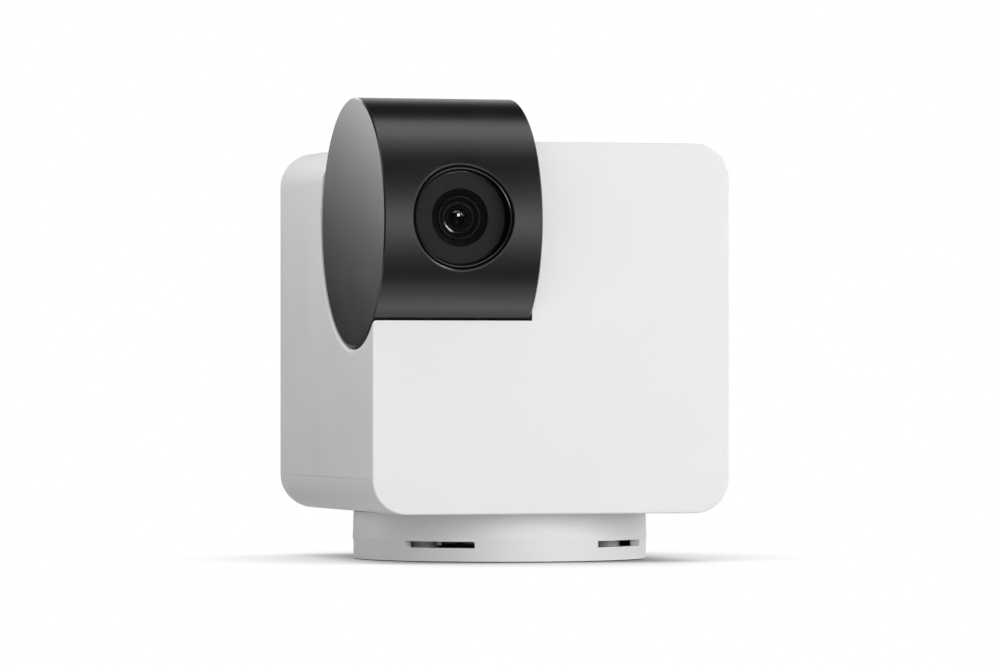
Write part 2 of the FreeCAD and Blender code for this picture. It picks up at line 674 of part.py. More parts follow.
def pocket_cut():
    """The drum's round pocket, with a rounded mouth in the left wall."""
    left = -BODY_WIDTH / 2
    bore = rod(POCKET_RADIUS, left - OVER, NOTCH_X, "x", DRUM_AT)
    r = POCKET_EDGE_RADIUS
    centre = V(left + r, POCKET_RADIUS + r, 0)
    middle = centre + V(-r * math.cos(math.pi / 4), -r * math.sin(math.pi / 4), 0)
    start = V(left, POCKET_RADIUS + r, 0)
    end = V(left + r, POCKET_RADIUS, 0)
    inner_end = V(left + r, POCKET_RADIUS - OVER, 0)
    inner_start = V(left - OVER, POCKET_RADIUS - OVER, 0)
    outer_start = V(left - OVER, POCKET_RADIUS + r, 0)
    edges = [Part.Arc(start, middle, end).toShape()]
    corners = (end, inner_end, inner_start, outer_start, start)
    edges += [Part.LineSegment(a, b).toShape() for a, b in zip(corners, corners[1:])]
    flare = Part.Face(Part.Wire(edges)).revolve(V(0, 0, 0), X_AXIS, 360)
    flare.translate(V(0, DRUM_Y, DRUM_Z))
    return bore.fuse(flare)


def below_split():
    """The space that the bottom cover fills, behind the front wall."""
    return block(-BODY_WIDTH, BODY_WIDTH, Y_FRONT + WALL, Y_BACK + OVER, BODY_BOTTOM - OVER, SPLIT)


def boss_rib(at):
    """The web that ties a screw boss to the side wall above the cover's lip."""
    wall_x = BODY_WIDTH / 2 - WALL + ROOT
    x_low, x_high = sorted((at[0], math.copysign(wall_x, at[0])))
    return block(x_low, x_high, at[1] - BOSS_RIB / 2, at[1] + BOSS_RIB / 2,
                 SPLIT + LIP_HEIGHT + LIP_CLEARANCE, SPLIT + BOSS_HEIGHT)


def main_shell():
    outer = housing_form(0, 0)
    outer = outer.makeFillet(FRONT_EDGE_RADIUS, edges_in_plane(outer, Y_FRONT))
    keep = rod(POCKET_RADIUS + POCKET_WALL, -BODY_WIDTH, NOTCH_INNER, "x", DRUM_AT)
    shell = outer.cut(housing_form(WALL, WALL).cut(keep))
    shell = shell.fuse(rod(BEARING_BOSS_RADIUS, NOTCH_X, BEARING_END, "x", DRUM_AT))
    for ear in TILT_EARS:
        shell = shell.fuse(rod(MOTOR_POST_RADIUS, NOTCH_X + ROOT, TILT_MOTOR_X, "x", (ear.y, ear.z)))
    for at in BOSS_ATS:
        shell = shell.fuse(rod(BOSS_RADIUS, SPLIT, SPLIT + BOSS_HEIGHT, "z", at)).fuse(boss_rib(at))
    shell = shell.cut(below_split())
    shell = shell.cut(pocket_cut())
    shell = shell.cut(rod(BUSH_RADIUS, NOTCH_X - OVER, BEARING_END + OVER, "x", DRUM_AT))
    for ear in TILT_EARS:
        depth = MOTOR_SCREW_LENGTH - MOTOR_EAR_THICKNESS + SCREW_END_GAP
        shell = shell.cut(rod(SMALL_PILOT, TILT_MOTOR_X - depth, TILT_MOTOR_X + OVER, "x", (ear.y, ear.z)))
    for at in BOSS_ATS:
        shell = shell.cut(rod(PILOT, SPLIT - OVER, SPLIT + BOSS_HEIGHT - OVER, "z", at))
    shell = shell.cut(rounded_prism(USB_WIDTH + 2 * USB_CLEARANCE, USB_HEIGHT + 2 * USB_CLEARANCE,
                                    USB_HEIGHT / 2 + USB_CLEARANCE - FLAT_END,
                                    Y_BACK - WALL - OVER, Y_BACK + OVER, USB_Z))
    shell = shell.cut(rounded_prism(PLUG_RECESS_WIDTH, PLUG_RECESS_HEIGHT,
                                    PLUG_RECESS_HEIGHT / 2 - FLAT_END,
                                    Y_BACK - PLUG_RECESS_DEPTH, Y_BACK + OVER, USB_Z))
    shell = shell.cut(rod(BUTTON_RADIUS + HEAD_CLEARANCE, Y_BACK - WALL - OVER, Y_BACK + OVER, "y",
                          (BUTTON_X, BUTTON_Z)))
    shell = shell.cut(rod(MIC_HOLE_RADIUS, Y_BACK - WALL - OVER, Y_BACK + OVER, "y", (MIC_X, BUTTON_Z)))
    return shell.removeSplitter()


def cover_lip():
    """The rim that stands up inside the main shell, with its root on the cover's walls."""
    outset = WALL + LIP_CLEARANCE
    inset = outset + LIP_THICKNESS
    rim = housing_form(outset, outset).common(
        block(-BODY_WIDTH, BODY_WIDTH, Y_FRONT, Y_BACK, FLOOR_TOP, SPLIT + LIP_HEIGHT))
    root = housing_form(WALL - LIP_ROOT, WALL + SEAM_GAP).common(
        block(-BODY_WIDTH, BODY_WIDTH, Y_FRONT, Y_BACK, FLOOR_TOP - LIP_ROOT, SPLIT - LIP_ROOT))
    flat_x = BODY_WIDTH / 2 - CORNER_RADIUS
    floor = block(-flat_x, flat_x, Y_FRONT + inset, Y_BACK - BACK_RADIUS, FLOOR_TOP, SPLIT)
    return rim.fuse(root).cut(housing_form(inset, inset)).cut(floor)


def bottom_cover():
    zone = block(-BODY_WIDTH, BODY_WIDTH, Y_FRONT + WALL + SEAM_GAP, Y_BACK + OVER, BODY_BOTTOM - OVER,
                 SPLIT - SEAM_GAP)
    cover = housing_form(0, 0).common(zone).cut(housing_form(WALL, WALL))
    cover = cover.fuse(cover_lip())
    for at in BOSS_ATS:
        cover = cover.fuse(rod(BOSS_RADIUS, FLOOR_TOP - ROOT, SPLIT - SEAM_GAP, "z", at))
    for at in POST_ATS:
        cover = cover.fuse(rod(POST_RADIUS, FLOOR_TOP - ROOT, BOARD_HEIGHT, "z", at))
    for ear in PAN_EARS:
        cover = cover.fuse(rod(MOTOR_POST_RADIUS, FLOOR_TOP - ROOT, PAN_MOTOR_Z, "z", (ear.x, ear.y)))
    cover = cover.cut(rod(HUB_RADIUS + RUNNING_CLEARANCE, BODY_BOTTOM - OVER, FLOOR_TOP + OVER, "z",
                          (0, 0)))
    for at in BOSS_ATS:
        cover = cover.cut(rod(SCREW_HOLE, BODY_BOTTOM - OVER, SPLIT + OVER, "z", at))
        seat = BODY_BOTTOM + COVER_SCREW_SEAT
        cover = cover.cut(rod(SCREW_HEAD + HEAD_CLEARANCE, BODY_BOTTOM - OVER, seat, "z", at))
    for at in POST_ATS:
        cover = cover.cut(rod(SMALL_PILOT, BOARD_HEIGHT - MOTOR_SCREW_LENGTH, BOARD_HEIGHT + OVER, "z", at))
    for ear in PAN_EARS:
        depth = MOTOR_SCREW_LENGTH - MOTOR_EAR_THICKNESS + SCREW_END_GAP
        cover = cover.cut(rod(SMALL_PILOT, PAN_MOTOR_Z - depth, PAN_MOTOR_Z + OVER, "z", (ear.x, ear.y)))
    return cover.removeSplitter()


def cover_screws():
    seats = [V(*at, BODY_BOTTOM + COVER_SCREW_SEAT) for at in BOSS_ATS]
    return screw_group(seats, X_AXIS, -Z_AXIS, SCREW, COVER_SCREW_LENGTH)


def tilt_bush():
    sleeve = rod(BUSH_RADIUS, NOTCH_X, BEARING_END, "x", DRUM_AT)
    flange = rod(BUSH_RADIUS + BUSH_FLANGE, BEARING_END, BUSH_END, "x", DRUM_AT)
    return fuse([sleeve, flange]).cut(
        rod(SHAFT_RADIUS + RUNNING_CLEARANCE, NOTCH_X - OVER, BUSH_END + OVER, "x", DRUM_AT))


# Main board

def main_board():
    half = BOARD_WIDTH / 2
    board = block(-half, half, BOARD_FRONT, BOARD_BACK, BOARD_HEIGHT, BOARD_TOP)
    upright = [edge for edge in board.Edges
               if abs(edge.Vertexes[0].Z - edge.Vertexes[1].Z) > BOARD_THICKNESS / 2]
    board = board.makeFillet(BOARD_CORNER, upright)
    for at in POST_ATS:
        board = board.cut(rod(SMALL_HOLE, BOARD_HEIGHT - OVER, BOARD_TOP + OVER, "z", at))
    return board


def board_screws():
    return screw_group([V(*at, BOARD_TOP) for at in POST_ATS], X_AXIS, Z_AXIS, SMALL_SCREW,
                       MOTOR_SCREW_LENGTH)


def usb_port():
    """The power inlet: a metal shell with rounded ends, open to the back, and a tongue inside it."""
    front = USB_END - USB_DEPTH
    metal = rounded_prism(USB_WIDTH, USB_HEIGHT, USB_HEIGHT / 2 - FLAT_END, front, USB_END, USB_Z)
    inner_height = USB_HEIGHT - 2 * USB_METAL
    cavity = rounded_prism(USB_WIDTH - 2 * USB_METAL, inner_height, inner_height / 2 - FLAT_END,
                           USB_END - USB_CAVITY_DEPTH, USB_END + OVER, USB_Z)
    tongue = block(-USB_TONGUE_WIDTH / 2, USB_TONGUE_WIDTH / 2, USB_END - USB_CAVITY_DEPTH - LOOSE,
                   USB_END - USB_CAVITY_DEPTH + USB_TONGUE_LENGTH,
                   USB_Z - USB_TONGUE_THICKNESS / 2, USB_Z + USB_TONGUE_THICKNESS / 2)
    return metal.cut(cavity).fuse(tongue).removeSplitter()


def reset_switch():
    half = SWITCH_WIDTH / 2
    case = block(BUTTON_X - half, BUTTON_X + half, SWITCH_FRONT, SWITCH_END, BOARD_TOP,
                 BUTTON_Z + BUTTON_RADIUS + SWITCH_WALL)
    return case.cut(rod(BUTTON_RADIUS + SWITCH_CLEARANCE, BUTTON_SEAT - BUTTON_TRAVEL - LOOSE,
                        SWITCH_END + OVER, "y", (BUTTON_X, BUTTON_Z)))


def reset_button():
    stem = rod(BUTTON_RADIUS, BUTTON_SEAT, Y_BACK - BUTTON_RECESS, "y", (BUTTON_X, BUTTON_Z))
    outer_edge = [edge for edge in stem.Edges if abs(edge.CenterOfMass.y - (Y_BACK - BUTTON_RECESS)) < 1e-4]
    return stem.makeFillet(BUTTON_EDGE, outer_edge)


def microphone():
    back = BOARD_BACK - MIC_SETBACK
    return block(MIC_X - MIC_WIDTH / 2, MIC_X + MIC_WIDTH / 2, back - MIC_DEPTH, back, BOARD_TOP,
                 BOARD_TOP + MIC_HEIGHT)


def shield_can():
    half_w = SHIELD_WIDTH / 2
    half_d = SHIELD_DEPTH / 2
    can = block(SHIELD_X - half_w, SHIELD_X + half_w, SHIELD_Y - half_d, SHIELD_Y + half_d, BOARD_TOP,
                BOARD_TOP + SHIELD_HEIGHT)
    upper = [edge for edge in can.Edges if edge.CenterOfMass.z > BOARD_TOP + LOOSE]
    return can.makeFillet(SHIELD_EDGE, upper)


def processor():
    half = PROCESSOR_SIZE / 2
    chip = block(PROCESSOR_X - half, PROCESSOR_X + half, PROCESSOR_Y - half, PROCESSOR_Y + half, BOARD_TOP,
                 BOARD_TOP + PROCESSOR_HEIGHT)
    upper = [edge for edge in chip.Edges if edge.CenterOfMass.z > BOARD_TOP + PROCESSOR_HEIGHT - LOOSE]
    return chip.makeChamfer(PROCESSOR_EDGE, upper)


def wire_sockets():
    """A row of plug sockets along the board's right edge, open to the right."""
    right = BOARD_WIDTH / 2 - SOCKET_SETBACK
    left = right - SOCKET_DEPTH
    half = SOCKET_WIDTH / 2
    sockets = []
    for index in range(SOCKET_COUNT):
        y = BOARD_FRONT + SOCKET_FIRST + index * SOCKET_SPACING
        case = block(left, right, y - half, y + half, BOARD_TOP, BOARD_TOP + SOCKET_HEIGHT)
        cavity = block(left + SOCKET_WALL, right + OVER, y - half + SOCKET_WALL, y + half - SOCKET_WALL,
                       BOARD_TOP + SOCKET_WALL, BOARD_TOP + SOCKET_HEIGHT - SOCKET_WALL)
        sockets.append(case.cut(cavity))
    return Part.makeCompound(sockets)


def antenna():
    """A thin strip on the inside of the right wall."""
    inside = BODY_WIDTH / 2 - WALL
    half_h = ANTENNA_HEIGHT / 2
    return block(inside - ANTENNA_THICKNESS, inside, ANTENNA_BACK - ANTENNA_LENGTH, ANTENNA_BACK,
                 ANTENNA_Z - half_h, ANTENNA_Z + half_h)


# Drum

def drum_screw_ats():
    return [on_circle(DRUM_SCREW_RING, angle, DRUM_AT) for angle in DRUM_SCREW_ANGLES]


SENSOR_POST_ATS = [(LENS_X + side * SENSOR_POST_X, LENS_Z + side * SENSOR_POST_Z) for side in (-1, 1)]


def mouth_edges(shape, radius, outside):
    """The edges where a bore along the lens axis comes out through the drum's round outside."""
    def on_both(point):
        from_lens = math.hypot(point.x - LENS_X, point.z - LENS_Z)
        from_drum = math.hypot(point.y - DRUM_Y, point.z - DRUM_Z)
        return abs(from_lens - radius) < 1e-3 and abs(from_drum - outside) < 1e-3 and point.y < DRUM_Y

    return [edge for edge in shape.Edges if all(on_both(point) for point in edge.discretize(5))]


def drum_shell():
    tube = rod(DRUM_RADIUS, TUBE_LEFT, TUBE_RIGHT, "x", DRUM_AT)
    bore = rod(DRUM_BORE, TUBE_LEFT - OVER, TUBE_RIGHT + OVER, "x", DRUM_AT)
    shell = tube.cut(bore)
    within = rod(DRUM_RADIUS - DRUM_WALL / 2, TUBE_LEFT, TUBE_RIGHT, "x", DRUM_AT)
    spigot = CAP_SPIGOT_LENGTH + SPIGOT_CLEARANCE
    for at in drum_screw_ats():
        column = rod(DRUM_COLUMN_RADIUS, TUBE_LEFT + spigot, TUBE_RIGHT - spigot, "x", at)
        shell = shell.fuse(column.common(within))
    for at in SENSOR_POST_ATS:
        post = rod(SENSOR_POST_RADIUS, DRUM_Y - DRUM_RADIUS, SENSOR_BOARD_FRONT, "y", at)
        shell = shell.fuse(post.common(within))
    shell = shell.cut(rod(RECESS_RADIUS, DRUM_Y - DRUM_RADIUS - OVER, BEZEL_BACK, "y", LENS_AT))
    shell = shell.makeFillet(RECESS_EDGE, mouth_edges(shell, RECESS_RADIUS, DRUM_RADIUS))
    for at in drum_screw_ats():
        shell = shell.cut(rod(SMALL_PILOT, TUBE_RIGHT - DRUM_SCREW_LENGTH, TUBE_RIGHT, "x", at))
    for at in SENSOR_POST_ATS:
        shell = shell.cut(rod(SMALL_PILOT, SENSOR_BOARD_FRONT - MOTOR_SCREW_LENGTH,
                              SENSOR_BOARD_FRONT + OVER, "y", at))
    return shell.removeSplitter()


def cap_spigot(low, high):
    outer = DRUM_BORE - SPIGOT_CLEARANCE
    return pipe(outer, outer - CAP_SPIGOT_WALL, low, high, "x", DRUM_AT)


def rim_edges(shape, x):
    return [edge for edge in shape.Edges
            if abs(edge.CenterOfMass.x - x) < 1e-4 and edge.Length > 2 * DRUM_RADIUS]


def side_cap():
    disc = rod(DRUM_RADIUS, DRUM_LEFT, TUBE_LEFT, "x", DRUM_AT)
    disc = disc.makeChamfer(DRUM_EDGE, rim_edges(disc, DRUM_LEFT))
    return disc.fuse(cap_spigot(TUBE_LEFT, TUBE_LEFT + CAP_SPIGOT_LENGTH)).removeSplitter()


def drive_cap():
    """The cap at the pocket's inner end, with the hollow shaft that carries the drum and its wires."""
    disc = rod(DRUM_RADIUS, TUBE_RIGHT, DRUM_RIGHT, "x", DRUM_AT)
    disc = disc.makeChamfer(DRUM_EDGE, rim_edges(disc, DRUM_RIGHT))
    cap = disc.fuse(cap_spigot(TUBE_RIGHT - CAP_SPIGOT_LENGTH, TUBE_RIGHT))
    cap = cap.fuse(rod(SHAFT_RADIUS + COLLAR_WIDTH, DRUM_RIGHT, NOTCH_X - THRUST_GAP, "x", DRUM_AT))
    cap = cap.fuse(rod(SHAFT_RADIUS, DRUM_RIGHT, TILT_GEAR_LEFT, "x", DRUM_AT))
    seat = rod(SHAFT_SEAT_RADIUS, TILT_GEAR_LEFT, SHAFT_END, "x", DRUM_AT)
    flat = block(TILT_GEAR_LEFT, SHAFT_END + OVER, DRUM_Y - DRUM_RADIUS, DRUM_Y + DRUM_RADIUS,
                 DRUM_Z + SHAFT_FLAT, DRUM_Z + DRUM_RADIUS)
    cap = cap.fuse(seat.cut(flat))
    groove = pipe(SHAFT_RADIUS, CLIP_GROOVE_RADIUS, TILT_GEAR_RIGHT, TILT_GEAR_RIGHT + CLIP_THICKNESS,
                  "x", DRUM_AT)
    cap = cap.cut(groove)
    cap = cap.cut(rod(SHAFT_BORE, TUBE_RIGHT - OVER, SHAFT_END + OVER, "x", DRUM_AT))
    for at in drum_screw_ats():
        cap = cap.fuse(rod(DRUM_COLUMN_RADIUS, TUBE_RIGHT - CAP_SPIGOT_LENGTH, TUBE_RIGHT, "x", at))
        cap = cap.cut(rod(SMALL_HOLE, TUBE_RIGHT - CAP_SPIGOT_LENGTH - OVER, DRUM_RIGHT + OVER, "x", at))
        cap = cap.cut(rod(SMALL_HEAD + HEAD_CLEARANCE, DRUM_RIGHT - SMALL_HEAD_HEIGHT - LOOSE,
                          DRUM_RIGHT + OVER, "x", at))
    trim = rod(DRUM_BORE - SPIGOT_CLEARANCE, TUBE_RIGHT - CAP_SPIGOT_LENGTH - OVER, TUBE_RIGHT, "x",
               DRUM_AT)
    outside = rod(DRUM_RADIUS, TUBE_RIGHT - CAP_SPIGOT_LENGTH - OVER, TUBE_RIGHT, "x", DRUM_AT).cut(trim)
    return cap.cut(outside).removeSplitter()


def drum_screws():
    seats = [V(DRUM_RIGHT - SMALL_HEAD_HEIGHT - LOOSE, *at) for at in drum_screw_ats()]
    return screw_group(seats, Y_AXIS, X_AXIS, SMALL_SCREW, DRUM_SCREW_LENGTH)


def tilt_gear():
    wheel = place(gear(TILT_GEAR_TEETH, GEAR_WIDTH), V(TILT_GEAR_LEFT, DRUM_Y, DRUM_Z), TILT_OUT, X_AXIS)
    bore = rod(SHAFT_SEAT_RADIUS, TILT_GEAR_LEFT - OVER, TILT_GEAR_RIGHT + OVER, "x", DRUM_AT)
    flat = block(TILT_GEAR_LEFT - OVER, TILT_GEAR_RIGHT + OVER, DRUM_Y - DRUM_RADIUS, DRUM_Y + DRUM_RADIUS,
                 DRUM_Z + SHAFT_FLAT, DRUM_Z + DRUM_RADIUS)
    return wheel.cut(bore.cut(flat))


def shaft_clip():
    ring = pipe(CLIP_RADIUS, CLIP_GROOVE_RADIUS, TILT_GEAR_RIGHT, TILT_GEAR_RIGHT + CLIP_THICKNESS, "x",
                DRUM_AT)
    opening = block(TILT_GEAR_RIGHT - OVER, TILT_GEAR_RIGHT + CLIP_THICKNESS + OVER,
                    DRUM_Y - CLIP_OPENING / 2, DRUM_Y + CLIP_OPENING / 2,
                    DRUM_Z - CLIP_RADIUS - OVER, DRUM_Z)
    return ring.cut(opening)


# Lens and camera module, along the lens axis

def lens_bezel():
    """A ring whose front follows the drum a little below its surface, with a seat behind for the window."""
    face = DRUM_RADIUS - BEZEL_INSET
    radius = RECESS_RADIUS - BEZEL_CLEARANCE
    ring = rod(radius, DRUM_Y - DRUM_RADIUS - OVER, BEZEL_BACK, "y", LENS_AT)
    ring = ring.common(rod(face, TUBE_LEFT, TUBE_RIGHT, "x", DRUM_AT))
    ring = ring.cut(rod(BEZEL_BORE, DRUM_Y - DRUM_RADIUS - 2 * OVER, RING_BACK, "y", LENS_AT))
    ring = ring.makeFillet(BEZEL_EDGE, mouth_edges(ring, radius, face) + mouth_edges(ring, BEZEL_BORE, face))
    return ring.cut(rod(BEZEL_SEAT_BORE, RING_BACK - OVER, BEZEL_BACK + OVER, "y", LENS_AT))


def cover_glass():
    return rod(GLASS_RADIUS, GLASS_FRONT, GLASS_BACK, "y", LENS_AT)


def window_ring():
    return pipe(GLASS_RADIUS, RING_BORE, GLASS_BACK, RING_BACK, "y", LENS_AT)


def lens_barrel():
    barrel = rod(BARREL_RADIUS, BARREL_FRONT, BARREL_BACK, "y", LENS_AT)
    mouth = Part.makeCone(BARREL_RADIUS - BARREL_LIP, BARREL_STEP_RADIUS, BARREL_STEP_DEPTH,
                          V(LENS_X, BARREL_FRONT, LENS_Z), Y_AXIS)
    seat = rod(FRONT_LENS_RADIUS, BARREL_FRONT, BARREL_FRONT + BARREL_STEP_DEPTH + FRONT_LENS_THICKNESS,
               "y", LENS_AT)
    light_path = rod(LIGHT_PATH_RADIUS, BARREL_FRONT, BARREL_BACK + OVER, "y", LENS_AT)
    return barrel.cut(mouth).cut(seat).cut(light_path)


def front_lens():
    """A domed disc of glass in the barrel's seat."""
    rim = BARREL_FRONT + BARREL_STEP_DEPTH + FRONT_LENS_RIM
    back = BARREL_FRONT + BARREL_STEP_DEPTH + FRONT_LENS_THICKNESS
    sphere = (FRONT_LENS_RADIUS ** 2 + FRONT_LENS_RISE ** 2) / (2 * FRONT_LENS_RISE)
    ball = Part.makeSphere(sphere, V(LENS_X, rim - FRONT_LENS_RISE + sphere, LENS_Z))
    return rod(FRONT_LENS_RADIUS, rim - FRONT_LENS_RISE - LOOSE, back, "y", LENS_AT).common(ball)


def lens_holder():
    half = HOLDER_SIZE / 2
    holder = block(LENS_X - half, LENS_X + half, HOLDER_FRONT, HOLDER_BACK, LENS_Z - half, LENS_Z + half)
    corners = [edge for edge in holder.Edges
               if abs(edge.Vertexes[0].Y - edge.Vertexes[1].Y) > HOLDER_LENGTH / 2]
    holder = holder.makeFillet(HOLDER_CORNER, corners)
    holder = holder.cut(rod(BARREL_RADIUS, HOLDER_FRONT - OVER, BARREL_BACK, "y", LENS_AT))
    window_w = SENSOR_WIDTH / 2 + SENSOR_CLEARANCE
    window_h = SENSOR_HEIGHT / 2 + SENSOR_CLEARANCE
    return holder.cut(block(LENS_X - window_w, LENS_X + window_w, BARREL_BACK - SENSOR_CLEARANCE,
                            HOLDER_BACK + OVER, LENS_Z - window_h, LENS_Z + window_h))


def image_sensor():
    return block(LENS_X - SENSOR_WIDTH / 2, LENS_X + SENSOR_WIDTH / 2,
                 HOLDER_BACK - SENSOR_THICKNESS, HOLDER_BACK,
                 LENS_Z - SENSOR_HEIGHT / 2, LENS_Z + SENSOR_HEIGHT / 2)


def sensor_board():
    half_w = SENSOR_BOARD_WIDTH / 2
    half_h = SENSOR_BOARD_HEIGHT / 2
    back = SENSOR_BOARD_FRONT + SENSOR_BOARD_THICKNESS
    board = block(LENS_X - half_w, LENS_X + half_w, SENSOR_BOARD_FRONT, back, LENS_Z - half_h,
                  LENS_Z + half_h)
    for at in SENSOR_POST_ATS:
        board = board.cut(rod(SMALL_HOLE, SENSOR_BOARD_FRONT - OVER, back + OVER, "y", at))
    return board


def sensor_screws():
    seats = [V(x, SENSOR_BOARD_FRONT + SENSOR_BOARD_THICKNESS, z) for x, z in SENSOR_POST_ATS]
    return screw_group(seats, X_AXIS, Y_AXIS, SMALL_SCREW, MOTOR_SCREW_LENGTH)


def ir_board():
    back = IR_BOARD_FRONT + IR_BOARD_THICKNESS
    return pipe(IR_BOARD_RADIUS, IR_BOARD_BORE, IR_BOARD_FRONT, back, "y", LENS_AT)


def ir_lamps():
    half = IR_LAMP_SIZE / 2
    lamps = []
    for index in range(IR_LAMP_COUNT):
        x, z = on_circle(IR_LAMP_RING, index * 360 / IR_LAMP_COUNT, LENS_AT)
        lamps.append(block(x - half, x + half, IR_BOARD_FRONT - IR_LAMP_HEIGHT, IR_BOARD_FRONT, z - half,
                           z + half))
    return Part.makeCompound(lamps)


PAN_SHAFT_REACH = GEAR_TO_MOTOR + GEAR_WIDTH - PINION_TIP_GAP
TILT_SHAFT_REACH = TILT_MOTOR_X - TILT_GEAR_LEFT - PINION_TIP_GAP
PAN_PINION_AT = V(0, PAN_CENTRES, HUB_TOP)
TILT_PINION_AT = V(TILT_GEAR_LEFT, DRUM_Y, DRUM_Z) + TILT_OUT * TILT_CENTRES

PIECES = {
    "foot_pad": foot_pad(),
    "base_tray": base_tray(),
    "base_top": base_top(),
    "base_screws": base_screws(),
    "speaker": speaker(),
    "counterweight": counterweight(),
    "pan_gear": pan_gear(),
    "pan_gear_screws": pan_gear_screws(),
    "pan_washer": pan_washer(),
    "pan_motor": in_pan_motor(motor()),
    "pan_motor_shaft": in_pan_motor(motor_shaft(PAN_SHAFT_REACH)),
    "pan_motor_screws": motor_screws(PAN_EARS, X_AXIS, Z_AXIS),
    "pan_pinion": place(pinion(), PAN_PINION_AT, -Y_AXIS, Z_AXIS),
    "tilt_motor": in_tilt_motor(motor()),
    "tilt_motor_shaft": in_tilt_motor(motor_shaft(TILT_SHAFT_REACH)),
    "tilt_motor_screws": motor_screws(TILT_EARS, Y_AXIS, X_AXIS),
    "tilt_pinion": place(pinion(), TILT_PINION_AT, -TILT_OUT, X_AXIS),
    "main_shell": main_shell(),
    "bottom_cover": bottom_cover(),
    "cover_screws": cover_screws(),
    "tilt_bush": tilt_bush(),
    "main_board": main_board(),
    "board_screws": board_screws(),
    "usb_port": usb_port(),
    "reset_switch": reset_switch(),
    "reset_button": reset_button(),
    "microphone": microphone(),
    "shield_can": shield_can(),
    "processor": processor(),
    "wire_sockets": wire_sockets(),
    "antenna": antenna(),
    "drum_shell": drum_shell(),
    "side_cap": side_cap(),
    "drive_cap": drive_cap(),
    "drum_screws": drum_screws(),
    "tilt_gear": tilt_gear(),
    "shaft_clip": shaft_clip(),
    "lens_bezel": lens_bezel(),
    "cover_glass": cover_glass(),
    "window_ring": window_ring(),
    "lens_barrel": lens_barrel(),
    "front_lens": front_lens(),
    "lens_holder": lens_holder(),
    "image_sensor": image_sensor(),
    "sensor_board": sensor_board(),
    "sensor_screws": sensor_screws(),
    "ir_board": ir_board(),
    "ir_lamps": ir_lamps(),
}

os.makedirs("parts", exist_ok=True)
for node, solid in PIECES.items():
    solid.exportStep(os.path.join("parts", node + ".step"))
    print(node, "solids", len(solid.Solids), "volume", round(solid.Volume, 1), "valid", solid.isValid())
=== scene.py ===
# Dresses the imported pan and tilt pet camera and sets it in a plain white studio. Lengths are in metres.
import json
import math

import bmesh
import bpy
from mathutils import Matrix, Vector

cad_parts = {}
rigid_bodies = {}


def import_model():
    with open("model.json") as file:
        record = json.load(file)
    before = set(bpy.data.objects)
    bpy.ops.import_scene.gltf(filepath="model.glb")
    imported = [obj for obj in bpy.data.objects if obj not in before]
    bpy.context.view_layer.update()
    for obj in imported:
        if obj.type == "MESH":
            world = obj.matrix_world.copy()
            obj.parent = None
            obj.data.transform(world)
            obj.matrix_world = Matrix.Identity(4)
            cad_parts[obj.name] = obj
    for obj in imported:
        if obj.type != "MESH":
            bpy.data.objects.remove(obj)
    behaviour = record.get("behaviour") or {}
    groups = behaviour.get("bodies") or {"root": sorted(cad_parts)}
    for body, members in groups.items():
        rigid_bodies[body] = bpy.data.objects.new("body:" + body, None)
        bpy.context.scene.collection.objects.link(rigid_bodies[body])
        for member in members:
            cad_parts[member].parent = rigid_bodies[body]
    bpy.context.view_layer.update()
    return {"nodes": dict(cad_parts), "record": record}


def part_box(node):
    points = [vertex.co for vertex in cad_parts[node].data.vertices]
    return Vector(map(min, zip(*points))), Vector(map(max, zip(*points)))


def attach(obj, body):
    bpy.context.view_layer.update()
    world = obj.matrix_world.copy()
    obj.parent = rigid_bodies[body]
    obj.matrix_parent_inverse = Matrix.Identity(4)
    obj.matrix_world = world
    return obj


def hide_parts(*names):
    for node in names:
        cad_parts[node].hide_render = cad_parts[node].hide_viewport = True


# View of the photograph, as fitted to the housing's and the base's edges
PHOTO_WIDTH = 1000
FOCAL_PIXELS = 5902.2
HORIZON_BELOW_MIDDLE = 47.1
VIEW_TURN = math.radians(15.92)
VIEW_DISTANCE = 1.11185
VIEW_SIDE_STEP = 0.00007
VIEW_HEIGHT = 0.03353
SENSOR = 36.0
NEAREST_SEEN = 0.05
FARTHEST_SEEN = 50.0

# Brightness of the studio: 1 is white
BACKGROUND = 1.0
AMBIENT = 0.35

# The floor darkens where the object hides the sky within its reach, and the gain keeps the rest white
FLOOR_WHITE = 0.8
FLOOR_GAIN = 1.38
FLOOR_REACH = 0.3
FLOOR_RADIUS = 0.45
FLOOR_SIDES = 64

# Flat lamps, each with its place, width, height and brightness, turned to the middle of the object
LAMP_TARGET = (0.0, 0.0, 0.045)
LAMPS = {
    "front_light": ((0.42, -1.1, 0.26), 0.9, 0.5, 4.95),
    "low_light": ((0.3, -1.1, 0.05), 0.9, 0.5, 0.5),
    "right_light": ((0.95, -0.6, 0.12), 0.7, 0.5, 0.9),
    "back_light": ((-0.7, 0.7, 0.3), 0.7, 0.5, 2.2),
    "top_light": ((0.1, 0.1, 0.8), 0.9, 0.5, 1.35),
}

# What gloss sees of the studio, as long strips along X. Each pair is an angle in degrees, from the front at
# 0 over the top at 90 to the back at 180, and a brightness.
GLOSS_STRIPS = (
    (-180, 0.2), (-130, 0.2), (-98, 1.2), (-84, 1.9), (-70, 1.0), (-50, 0.1), (-36, 0.36), (-20, 1.05),
    (-8, 1.8), (0, 2.1), (8, 1.7), (20, 0.85), (36, 0.2), (50, 0.0), (62, 0.12), (76, 1.0), (90, 2.1),
    (104, 1.7), (112, 0.0), (180, 0.1),
)
STRIP_PEAK = 2.5
# In front, up to these angles above and below, the strips fade out sideways between these values of X
FRONT_STRIPS_TO = math.radians(60)
FRONT_STRIPS_END = math.radians(72)
STRIPS_LEFT = (-0.5, -0.3)
STRIPS_RIGHT = (0.75, 0.9)
# The white backdrop behind and to the right
BACKDROP_FROM = math.radians(138)
BACKDROP_FULL = math.radians(160)
BACKDROP_EDGE = 0.15
BACKDROP_GLOSS = 0.7
